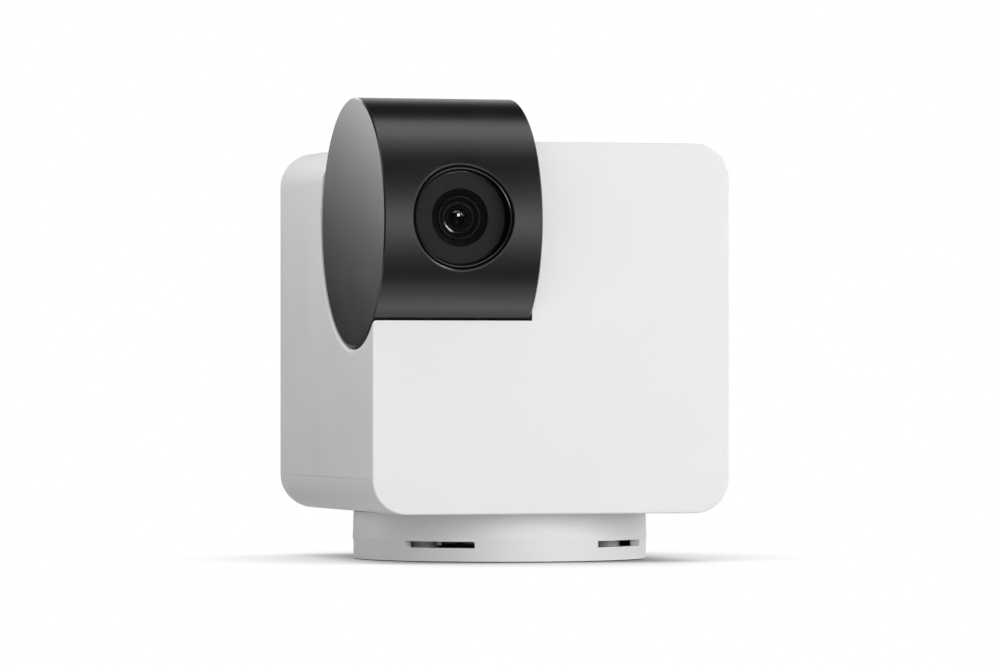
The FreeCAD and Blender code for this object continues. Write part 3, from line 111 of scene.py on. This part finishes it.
# The round key lamp
KEY_DIRECTION = (0.70, -0.50, 0.51)
KEY_RADIUS = math.radians(12)
KEY_SOFTNESS = math.radians(4)
KEY_GLOSS = 11.0
# Polished glass mirrors only a wide lamp above this range of angles, and round lamps
GLASS_DARK_TO = math.radians(50)
GLASS_FULL_FROM = math.radians(55)
GLASS_TOP_SIDES = (0.55, 0.3)
GLASS_TOP_GLOSS = 6.0
GLASS_KEY_DIRECTION = (0.245, -0.873, 0.42)
GLASS_KEY_RADIUS = math.radians(12)
GLASS_KEY_GLOSS = 34.0

# The card that the drum's flat side mirrors
CARD_Y = 0.1
CARD_LEFT = -0.17
CARD_RIGHT = -0.03
CARD_LOW = -0.02
CARD_HIGH = 0.16
CARD_MIDDLE_X = -0.068
CARD_MIDDLE_Z = 0.062
CARD_FALL_X = 0.019
CARD_FALL_Z = 0.0168
CARD_GLOW = 0.3
CARD_MOST = 3.6

# Lens pieces, in millimetres, as radius and depth behind the front of the lens barrel
MM = 0.001
LATHE_SIDES = 96
ARC_STEPS = 16
RIM_STEPS = 8
SHARP_EDGE = math.radians(35)
BEZEL_RIM = 8.82
BEZEL_RIM_ROUND = 0.9
BEZEL_RIM_FROM = math.radians(19)
BEZEL_RIM_TO = math.radians(31)
BEZEL_RIM_RISE = 0.24
BEZEL_INSET = 0.35
BARREL_EDGE = 3.79
BARREL_EDGE_DEPTH = 0.06
BARREL_EDGE_ROUND = 0.075
RETAINER = ((2.95, 1.05), (2.93, 0.80), (2.86, 0.74), (2.80, 0.76), (2.50, 0.93), (2.50, 1.08))
LENS_MASK = ((2.55, 1.06), (2.15, 1.04), (2.1, 1.01), (2.05, 1.04), (1.77, 1.1), (1.77, 1.34), (2.55, 1.34))
WINDOW = ((0.0, -1.4), (8.2, -1.4), (8.35, -1.25), (8.35, -0.52), (0.0, -0.52))
FRONT_GLASS_RADIUS = 1.75
FRONT_GLASS_CURVE = 2.3
FRONT_GLASS_APEX = 0.5
FRONT_GLASS_FLANGE = ((2.55, 1.36), (2.55, 2.45), (0.0, 2.45))
LIGHT_SHIELD = (
    (5.55, -0.28), (5.35, -0.28), (5.2, -0.1), (4.3, 0.42), (3.95, 0.5), (3.95, 1.35), (5.55, 1.35),
)

# The range that most of a noise lies in
NOISE_LOW = 0.3
NOISE_HIGH = 0.7


for leftover in list(bpy.data.objects):
    bpy.data.objects.remove(leftover)
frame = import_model()
nodes = frame["nodes"]


# Material helpers

def new_material(name, colour, roughness, metallic=0.0, specular=0.5):
    made = bpy.data.materials.new(name)
    made.use_nodes = True
    shader = made.node_tree.nodes["Principled BSDF"]
    shader.inputs["Base Color"].default_value = (*colour, 1.0)
    shader.inputs["Roughness"].default_value = roughness
    shader.inputs["Metallic"].default_value = metallic
    shader.inputs["Specular IOR Level"].default_value = specular
    return made, made.node_tree, shader


def noise(tree, lumps, detail=3.0, stretch=(1.0, 1.0, 1.0)):
    """A noise between 0 and 1 over the piece, with about so many lumps to the metre."""
    coords = tree.nodes.new("ShaderNodeTexCoord")
    mapping = tree.nodes.new("ShaderNodeMapping")
    texture = tree.nodes.new("ShaderNodeTexNoise")
    mapping.inputs["Scale"].default_value = stretch
    texture.inputs["Scale"].default_value = lumps
    texture.inputs["Detail"].default_value = detail
    tree.links.new(coords.outputs["Object"], mapping.inputs["Vector"])
    tree.links.new(mapping.outputs["Vector"], texture.inputs["Vector"])
    return texture.outputs["Fac"]


def vary_colour(tree, shader, factor, first, second):
    ramp = tree.nodes.new("ShaderNodeValToRGB")
    for stop, place, colour in zip(ramp.color_ramp.elements, (NOISE_LOW, NOISE_HIGH), (first, second)):
        stop.position = place
        stop.color = (*colour, 1.0)
    tree.links.new(factor, ramp.inputs["Fac"])
    tree.links.new(ramp.outputs["Color"], shader.inputs["Base Color"])


def vary_roughness(tree, shader, factor, lowest, highest):
    spread = tree.nodes.new("ShaderNodeMapRange")
    spread.inputs["From Min"].default_value = NOISE_LOW
    spread.inputs["From Max"].default_value = NOISE_HIGH
    spread.inputs["To Min"].default_value = lowest
    spread.inputs["To Max"].default_value = highest
    tree.links.new(factor, spread.inputs["Value"])
    tree.links.new(spread.outputs["Result"], shader.inputs["Roughness"])


def add_bump(tree, shader, height, depth, strength=1.0):
    bump = tree.nodes.new("ShaderNodeBump")
    bump.inputs["Distance"].default_value = depth
    bump.inputs["Strength"].default_value = strength
    tree.links.new(height, bump.inputs["Height"])
    tree.links.new(bump.outputs["Normal"], shader.inputs["Normal"])


def shade(colour, factor):
    return tuple(channel * factor for channel in colour)


def grey(level):
    return (level, level, level)


# Materials

def surface(name, colour, roughness, tone, wear=None, grain=None, grain_detail=2.0, metallic=0.0,
            specular=0.5):
    """A surface that varies a little over the piece.

    tone is the lumps to the metre and the darkest and lightest share of the colour. wear is the lumps to the
    metre and the lowest and highest roughness. grain is the lumps to the metre and the depth."""
    made, tree, shader = new_material(name, colour, roughness, metallic, specular)
    lumps, darkest, lightest = tone
    vary_colour(tree, shader, noise(tree, lumps), shade(colour, darkest), shade(colour, lightest))
    if wear:
        lumps, lowest, highest = wear
        vary_roughness(tree, shader, noise(tree, lumps), lowest, highest)
    if grain:
        lumps, depth = grain
        add_bump(tree, shader, noise(tree, lumps, grain_detail), depth)
    return made


def moulded_white(name, level):
    """White satin plastic with a fine spark-eroded grain."""
    return surface(name, grey(level), 0.42, tone=(40.0, 0.985, 1.0), wear=(90.0, 0.38, 0.46),
                   grain=(5200.0, 0.000006))


def anodised(name, level, roughness):
    """Dark anodised metal."""
    return surface(name, grey(level), roughness, tone=(900.0, 0.9, 1.1),
                   wear=(2500.0, roughness * 0.9, roughness * 1.1), metallic=1.0)


def metal(name, colour, roughness, tone, wear, grain, wear_stretch, grain_stretch):
    """Bare metal, whose wear and grain are stretched by their drawing or plating."""
    made, tree, shader = new_material(name, colour, roughness, metallic=1.0)
    lumps, darkest, lightest = tone
    vary_colour(tree, shader, noise(tree, lumps), shade(colour, darkest), shade(colour, lightest))
    lumps, lowest, highest = wear
    vary_roughness(tree, shader, noise(tree, lumps, stretch=wear_stretch), lowest, highest)
    lumps, depth = grain
    add_bump(tree, shader, noise(tree, lumps, stretch=grain_stretch), depth)
    return made


def circuit_board():
    """Green solder mask over copper traces."""
    mask = (0.012, 0.085, 0.035)
    traces = (0.03, 0.16, 0.06)
    made, tree, shader = new_material("circuit_board", mask, 0.3)
    coords = tree.nodes.new("ShaderNodeTexCoord")
    cells = tree.nodes.new("ShaderNodeTexVoronoi")
    cells.distance = "CHEBYCHEV"
    cells.inputs["Scale"].default_value = 420.0
    tree.links.new(coords.outputs["Object"], cells.inputs["Vector"])
    vary_colour(tree, shader, cells.outputs["Distance"], traces, mask)
    add_bump(tree, shader, cells.outputs["Distance"], depth=0.00003, strength=0.4)
    return made


def window_clear():
    """A thin clear window, coated so that most light goes straight through."""
    colour = (0.01, 0.01, 0.011)
    made, tree, shader = new_material("window_clear", colour, 0.0)
    shader.inputs["Alpha"].default_value = 0.2
    vary_colour(tree, shader, noise(tree, 700.0, detail=4.0), shade(colour, 0.8), shade(colour, 1.2))
    return made


def lens_glass():
    """Polished lens glass whose colour is painted shade, dark as a deep lens looks, with a coating that
    gives its gloss a faint colour.
    """
    # Painted shade: the glass's colour is dark to stand in for the shade inside a deep lens
    painted_shade_tint = (0.04, 0.04, 0.045)
    made, tree, shader = new_material("lens_coated_painted_shade", painted_shade_tint, 0.0)
    shader.inputs["Transmission Weight"].default_value = 1.0
    shader.inputs["IOR"].default_value = 1.6
    shader.inputs["Specular Tint"].default_value = (1.0, 0.97, 1.0, 1.0)
    vary_colour(tree, shader, noise(tree, 400.0), shade(painted_shade_tint, 0.98), painted_shade_tint)
    return made


MATERIALS = {
    "white_shell": moulded_white("white_shell_satin", 0.83),
    "white_base": moulded_white("white_base_satin", 0.81),
    "black_drum": surface("black_drum_satin", grey(0.0085), 0.24, tone=(60.0, 0.9, 1.1),
                          wear=(120.0, 0.22, 0.26), grain=(4200.0, 0.000002)),
    "rubber": surface("foot_rubber", (0.035, 0.035, 0.037), 0.8, tone=(300.0, 0.8, 1.25),
                      grain=(2600.0, 0.00004), grain_detail=4.0, specular=0.3),
    "steel": metal("plated_steel", (0.56, 0.57, 0.58), 0.3, tone=(500.0, 0.85, 1.0), wear=(900.0, 0.22, 0.4),
                   grain=(3000.0, 0.00001), wear_stretch=(1.0, 1.0, 1.0), grain_stretch=(1.0, 1.0, 0.1)),
    "motor_can": metal("drawn_can", (0.62, 0.61, 0.58), 0.35, tone=(260.0, 0.88, 1.0),
                       wear=(500.0, 0.25, 0.45), grain=(1800.0, 0.00001), wear_stretch=(1.0, 1.0, 6.0),
                       grain_stretch=(1.0, 1.0, 8.0)),
    "acetal": surface("acetal", (0.8, 0.78, 0.7), 0.4, tone=(200.0, 0.95, 1.0), grain=(2500.0, 0.000008)),
    "circuit_board": circuit_board(),
    "dark_plastic": surface("dark_plastic", grey(0.018), 0.5, tone=(400.0, 0.8, 1.2),
                            grain=(3500.0, 0.00001)),
    "window_glass": window_clear(),
    "window_grey": surface("window_print", (0.044, 0.041, 0.0375), 0.6, tone=(900.0, 0.94, 1.06),
                           specular=0.2),
    "lens_glass": lens_glass(),
    "lamp_clear": surface("lamp_clear", (0.6, 0.58, 0.5), 0.15, tone=(1500.0, 0.9, 1.0)),
}

# The dull black of the parts round the lens
LENS_BLACK = surface("lens_black", (0.0035, 0.0035, 0.0037), 0.5, tone=(1500.0, 0.8, 1.2),
                     grain=(6000.0, 0.000003), specular=0.06)
LENS_BLACK_NODES = ("lens_barrel", "lens_holder", "lens_bezel")

for subpart in frame["record"]["subparts"]:
    for slot in nodes[subpart["node"]].material_slots:
        slot.material = MATERIALS[subpart["material_slot"]]
for name in LENS_BLACK_NODES:
    for slot in nodes[name].material_slots:
        slot.material = LENS_BLACK


# Lens pieces

def lathe(name, outline, material, front=None):
    """A closed solid turned about the lens axis, from pairs of radius and depth in millimetres.

    Depth counts from the front of the barrel, or from where front gives it for a height."""
    low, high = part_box("lens_barrel")
    centre_x = (low[0] + high[0]) / 2
    centre_z = (low[2] + high[2]) / 2
    verts = []
    rings = []
    for radius, depth in outline:
        turns = LATHE_SIDES if radius > 0 else 1
        ring = []
        for turn in range(turns):
            angle = 2 * math.pi * turn / LATHE_SIDES
            z = centre_z + radius * MM * math.sin(angle)
            y = front(z) if front else low[1]
            ring.append(len(verts))
            verts.append((centre_x + radius * MM * math.cos(angle), y + depth * MM, z))
        rings.append(ring)
    faces = []
    for here, after in zip(rings, rings[1:] + rings[:1]):
        if len(here) == 1 and len(after) == 1:
            continue
        for turn in range(LATHE_SIDES):
            corners = [here[turn % len(here)], here[(turn + 1) % len(here)],
                       after[(turn + 1) % len(after)], after[turn % len(after)]]
            faces.append(tuple(dict.fromkeys(corners)))
    mesh = bpy.data.meshes.new(name)
    mesh.from_pydata(verts, [], faces)
    mesh.validate()
    form = bmesh.new()
    form.from_mesh(mesh)
    bmesh.ops.recalc_face_normals(form, faces=form.faces)
    form.to_mesh(mesh)
    form.free()
    mesh.shade_smooth()
    mesh.set_sharp_from_angle(angle=SHARP_EDGE)
    mesh.materials.append(material)
    piece = bpy.data.objects.new(name, mesh)
    bpy.context.scene.collection.objects.link(piece)
    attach(piece, "drum")
    return piece


def rounded_ring(radius, depth, thickness):
    """The outline of a ring with a round section."""
    angles = [2 * math.pi * step / ARC_STEPS for step in range(ARC_STEPS)]
    return [(radius + thickness * math.cos(angle), depth + thickness * math.sin(angle)) for angle in angles]


def dome(radius, curve, apex):
    """The outline of a lens's round front."""
    widest = math.asin(radius / curve)
    angles = [widest * step / ARC_STEPS for step in range(ARC_STEPS + 1)]
    return [(curve * math.sin(angle), apex + curve * (1 - math.cos(angle))) for angle in angles]


def sloping_rim(radius, rise, size, first, last):
    """The outline of a rim that rounds down outwards, with its depth from the bezel's face."""
    angles = [first + (last - first) * step / RIM_STEPS for step in range(RIM_STEPS + 1)]
    arc = [(radius + size * (math.sin(angle) - math.sin(first)),
            size * (math.cos(first) - math.cos(angle)) - rise) for angle in angles]
    return arc + [(arc[-1][0], 0.0), ((arc[0][0] + arc[-1][0]) / 2, 0.0)]


def bezel_face(z):
    """Where the bezel's face is at a height, on the round of the drum."""
    low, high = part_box("side_cap")
    radius = (high[2] - low[2]) / 2
    centre_z = (high[2] + low[2]) / 2
    centre_y = (high[1] + low[1]) / 2
    return centre_y - math.sqrt((radius - BEZEL_INSET * MM) ** 2 - (z - centre_z) ** 2)


def make_lens_pieces():
    """What shows in the lens besides its CAD nodes: rims, glass, mask and light shield."""
    lathe("bezel_rim", sloping_rim(BEZEL_RIM, BEZEL_RIM_RISE, BEZEL_RIM_ROUND, BEZEL_RIM_FROM, BEZEL_RIM_TO),
          MATERIALS["black_drum"], bezel_face)
    lathe("light_shield", LIGHT_SHIELD, LENS_BLACK)
    lathe("barrel_edge", rounded_ring(BARREL_EDGE, BARREL_EDGE_DEPTH, BARREL_EDGE_ROUND),
          anodised("barrel_edge_anodised", level=0.07, roughness=0.3))
    lathe("lens_retainer", RETAINER,
          anodised("lens_retainer_anodised", level=0.12, roughness=0.22))
    lathe("lens_mask", LENS_MASK, LENS_BLACK)
    outline = dome(FRONT_GLASS_RADIUS, FRONT_GLASS_CURVE, FRONT_GLASS_APEX) + list(FRONT_GLASS_FLANGE)
    glass = lathe("front_lens_glass", outline, MATERIALS["lens_glass"])
    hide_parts("front_lens")
    window = lathe("window", WINDOW, MATERIALS["window_glass"])
    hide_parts("cover_glass")


make_lens_pieces()


# Studio

def set_input(tree, socket, value):
    """Sets a socket to a number, or links another socket to it."""
    if isinstance(value, (int, float)):
        socket.default_value = value
    else:
        tree.links.new(value, socket)


def math_node(tree, operation, first, second=None):
    """A math node whose inputs are numbers or sockets."""
    made = tree.nodes.new("ShaderNodeMath")
    made.operation = operation
    set_input(tree, made.inputs[0], first)
    if second is not None:
        set_input(tree, made.inputs[1], second)
    return made.outputs[0]


def times(tree, first, second):
    return math_node(tree, "MULTIPLY", first, second)


def mix(tree, factor, first, second):
    """The first value where the factor is 0, and the second where it is 1."""
    made = tree.nodes.new("ShaderNodeMix")
    tree.links.new(factor, made.inputs["Factor"])
    set_input(tree, made.inputs["A"], first)
    set_input(tree, made.inputs["B"], second)
    return made.outputs["Result"]


def smooth_step(tree, value, low, high):
    """0 at low, 1 at high and a soft rise between them. Low may be the larger one."""
    step = tree.nodes.new("ShaderNodeMapRange")
    step.interpolation_type = "SMOOTHSTEP"
    step.inputs["From Min"].default_value = low
    step.inputs["From Max"].default_value = high
    tree.links.new(value, step.inputs["Value"])
    return step.outputs["Result"]


def round_lamp(tree, seen_direction, direction, radius, brightness):
    """The brightness of a round lamp in a direction, for the direction that is seen."""
    towards = tree.nodes.new("ShaderNodeVectorMath")
    towards.operation = "DOT_PRODUCT"
    towards.inputs[1].default_value = Vector(direction).normalized()
    tree.links.new(seen_direction, towards.inputs[0])
    inside = smooth_step(tree, towards.outputs["Value"], math.cos(radius + KEY_SOFTNESS), math.cos(radius))
    return times(tree, inside, brightness)


def light_strips(tree, angle):
    """The brightness of the long strips at an angle from the front."""
    strips = tree.nodes.new("ShaderNodeValToRGB")
    ramp = strips.color_ramp
    ramp.interpolation = "EASE"
    while len(ramp.elements) < len(GLOSS_STRIPS):
        ramp.elements.new(0.5)
    for stop, (degrees, brightness) in zip(ramp.elements, GLOSS_STRIPS):
        stop.position = degrees / 360 + 0.5
        stop.color = (*grey(brightness / STRIP_PEAK), 1.0)
    turn = math_node(tree, "ADD", math_node(tree, "DIVIDE", angle, 2 * math.pi), 0.5)
    tree.links.new(turn, strips.inputs["Fac"])
    return times(tree, strips.outputs["Color"], STRIP_PEAK)


def studio_gloss(tree, polished):
    """The studio as gloss sees it: light strips, the white backdrop behind and a key lamp at the right.

    Where polished is 1, a lamp above and one near the camera take the strips' place."""
    coords = tree.nodes.new("ShaderNodeTexCoord")
    direction = coords.outputs["Generated"]
    split = tree.nodes.new("ShaderNodeSeparateXYZ")
    tree.links.new(direction, split.inputs["Vector"])
    across = split.outputs["X"]
    angle = math_node(tree, "ARCTAN2", split.outputs["Z"], times(tree, split.outputs["Y"], -1.0))
    steepness = math_node(tree, "ABSOLUTE", angle)

    in_front = smooth_step(tree, steepness, FRONT_STRIPS_END, FRONT_STRIPS_TO)
    within = math_node(tree, "SUBTRACT", smooth_step(tree, across, *STRIPS_LEFT),
                       smooth_step(tree, across, *STRIPS_RIGHT))
    room = times(tree, light_strips(tree, angle), mix(tree, in_front, 1.0, within))

    above = smooth_step(tree, angle, GLASS_DARK_TO, GLASS_FULL_FROM)
    between = smooth_step(tree, math_node(tree, "ABSOLUTE", across), *GLASS_TOP_SIDES)
    room = mix(tree, polished, room, times(tree, times(tree, above, between), GLASS_TOP_GLOSS))

    behind = smooth_step(tree, steepness, BACKDROP_FROM, BACKDROP_FULL)
    to_right = smooth_step(tree, across, -BACKDROP_EDGE, BACKDROP_EDGE)
    room = mix(tree, times(tree, behind, to_right), room, BACKDROP_GLOSS)

    key = round_lamp(tree, direction, KEY_DIRECTION, KEY_RADIUS, KEY_GLOSS)
    glass_key = round_lamp(tree, direction, GLASS_KEY_DIRECTION, GLASS_KEY_RADIUS, GLASS_KEY_GLOSS)
    lamps = math_node(tree, "ADD", key, times(tree, glass_key, polished))
    return math_node(tree, "ADD", room, lamps)


def make_world():
    """White behind the object, the studio in its gloss and a plain fill on its matt surfaces."""
    world = bpy.data.worlds.new("studio")
    bpy.context.scene.world = world
    world.use_nodes = True
    tree = world.node_tree
    shown = tree.nodes["Background"]
    paths = tree.nodes.new("ShaderNodeLightPath")
    shiny = math_node(tree, "MAXIMUM", paths.outputs["Is Glossy Ray"], paths.outputs["Is Transmission Ray"])
    # A ray that has already met a matt surface gets the plain fill
    unscattered = math_node(tree, "LESS_THAN", paths.outputs["Diffuse Depth"], 0.5)
    shiny = times(tree, shiny, unscattered)
    seen = mix(tree, shiny, AMBIENT, studio_gloss(tree, paths.outputs["Is Singular Ray"]))
    seen = mix(tree, paths.outputs["Is Camera Ray"], seen, BACKGROUND)
    tree.links.new(seen, shown.inputs["Strength"])
    shown.inputs["Color"].default_value = (*grey(1.0), 1.0)


def add_flat(name, corners):
    """One flat face as an object."""
    mesh = bpy.data.meshes.new(name)
    mesh.from_pydata(corners, [], [tuple(range(len(corners)))])
    made = bpy.data.objects.new(name, mesh)
    bpy.context.scene.collection.objects.link(made)
    return made


def make_floor():
    """A matt white floor. The camera sees it white, apart from the object's shadow under the open sky."""
    angles = [2 * math.pi * side / FLOOR_SIDES for side in range(FLOOR_SIDES)]
    floor = add_flat("floor", [(FLOOR_RADIUS * math.cos(angle), FLOOR_RADIUS * math.sin(angle), 0)
                               for angle in angles])
    floor.visible_glossy = False
    made, tree, shader = new_material("floor_white", grey(FLOOR_WHITE), 1.0, specular=0.0)
    sky = tree.nodes.new("ShaderNodeAmbientOcclusion")
    sky.inputs["Distance"].default_value = FLOOR_REACH
    lit = math_node(tree, "MINIMUM", times(tree, sky.outputs["AO"], FLOOR_GAIN), BACKGROUND)
    shown = tree.nodes.new("ShaderNodeEmission")
    tree.links.new(lit, shown.inputs["Strength"])
    paths = tree.nodes.new("ShaderNodeLightPath")
    seen = math_node(tree, "MAXIMUM", paths.outputs["Is Camera Ray"], paths.outputs["Is Transmission Ray"])
    blend = tree.nodes.new("ShaderNodeMixShader")
    tree.links.new(seen, blend.inputs["Fac"])
    tree.links.new(shader.outputs["BSDF"], blend.inputs[1])
    tree.links.new(shown.outputs["Emission"], blend.inputs[2])
    tree.links.new(blend.outputs["Shader"], tree.nodes["Material Output"].inputs["Surface"])
    floor.data.materials.append(made)


def make_side_card():
    """A glowing card behind the drum's flat side, brighter upwards and to the left, seen only in gloss."""
    card = add_flat("side_card", [(CARD_LEFT, CARD_Y, CARD_LOW), (CARD_RIGHT, CARD_Y, CARD_LOW),
                                  (CARD_RIGHT, CARD_Y, CARD_HIGH), (CARD_LEFT, CARD_Y, CARD_HIGH)])
    for kind in ("camera", "diffuse", "transmission", "shadow"):
        setattr(card, "visible_" + kind, False)
    made, tree, shader = new_material("side_card_glow", grey(0.0), 1.0, specular=0.0)
    coords = tree.nodes.new("ShaderNodeTexCoord")
    split = tree.nodes.new("ShaderNodeSeparateXYZ")
    tree.links.new(coords.outputs["Object"], split.inputs["Vector"])
    up = math_node(tree, "SUBTRACT", split.outputs["Z"], CARD_MIDDLE_Z)
    left = math_node(tree, "SUBTRACT", CARD_MIDDLE_X, split.outputs["X"])
    power = math_node(tree, "ADD", math_node(tree, "DIVIDE", up, CARD_FALL_Z),
                      math_node(tree, "DIVIDE", left, CARD_FALL_X))
    glow = times(tree, math_node(tree, "EXPONENT", power), CARD_GLOW)
    shader.inputs["Emission Color"].default_value = (*grey(1.0), 1.0)
    tree.links.new(math_node(tree, "MINIMUM", glow, CARD_MOST), shader.inputs["Emission Strength"])
    card.data.materials.append(made)


def make_lamp(name, at, width, height, brightness):
    """A flat lamp that only lights matt surfaces."""
    data = bpy.data.lights.new(name, "AREA")
    data.shape = "RECTANGLE"
    data.size = width
    data.size_y = height
    data.energy = brightness * math.pi * width * height
    lamp = bpy.data.objects.new(name, data)
    lamp.location = at
    lamp.rotation_euler = (Vector(LAMP_TARGET) - Vector(at)).to_track_quat("-Z", "Y").to_euler()
    lamp.visible_camera = False
    lamp.visible_glossy = False
    lamp.visible_transmission = False
    bpy.context.scene.collection.objects.link(lamp)


def make_camera():
    """The photograph's camera, level and shifted, so that upright edges stay upright."""
    ahead = Vector((math.sin(VIEW_TURN), math.cos(VIEW_TURN), 0.0))
    side = Vector((math.cos(VIEW_TURN), -math.sin(VIEW_TURN), 0.0))
    data = bpy.data.cameras.new("camera")
    data.sensor_width = SENSOR
    data.lens = FOCAL_PIXELS * SENSOR / PHOTO_WIDTH
    data.shift_y = HORIZON_BELOW_MIDDLE / PHOTO_WIDTH
    data.clip_start = NEAREST_SEEN
    data.clip_end = FARTHEST_SEEN
    camera = bpy.data.objects.new("camera", data)
    camera.location = -VIEW_DISTANCE * ahead + VIEW_SIDE_STEP * side + Vector((0.0, 0.0, VIEW_HEIGHT))
    camera.rotation_euler = ahead.to_track_quat("-Z", "Y").to_euler()
    bpy.context.scene.collection.objects.link(camera)
    bpy.context.scene.camera = camera


make_world()
make_floor()
for name, lamp in LAMPS.items():
    make_lamp(name, *lamp)
make_side_card()
make_camera()

bpy.context.scene.view_settings.view_transform = "Standard"
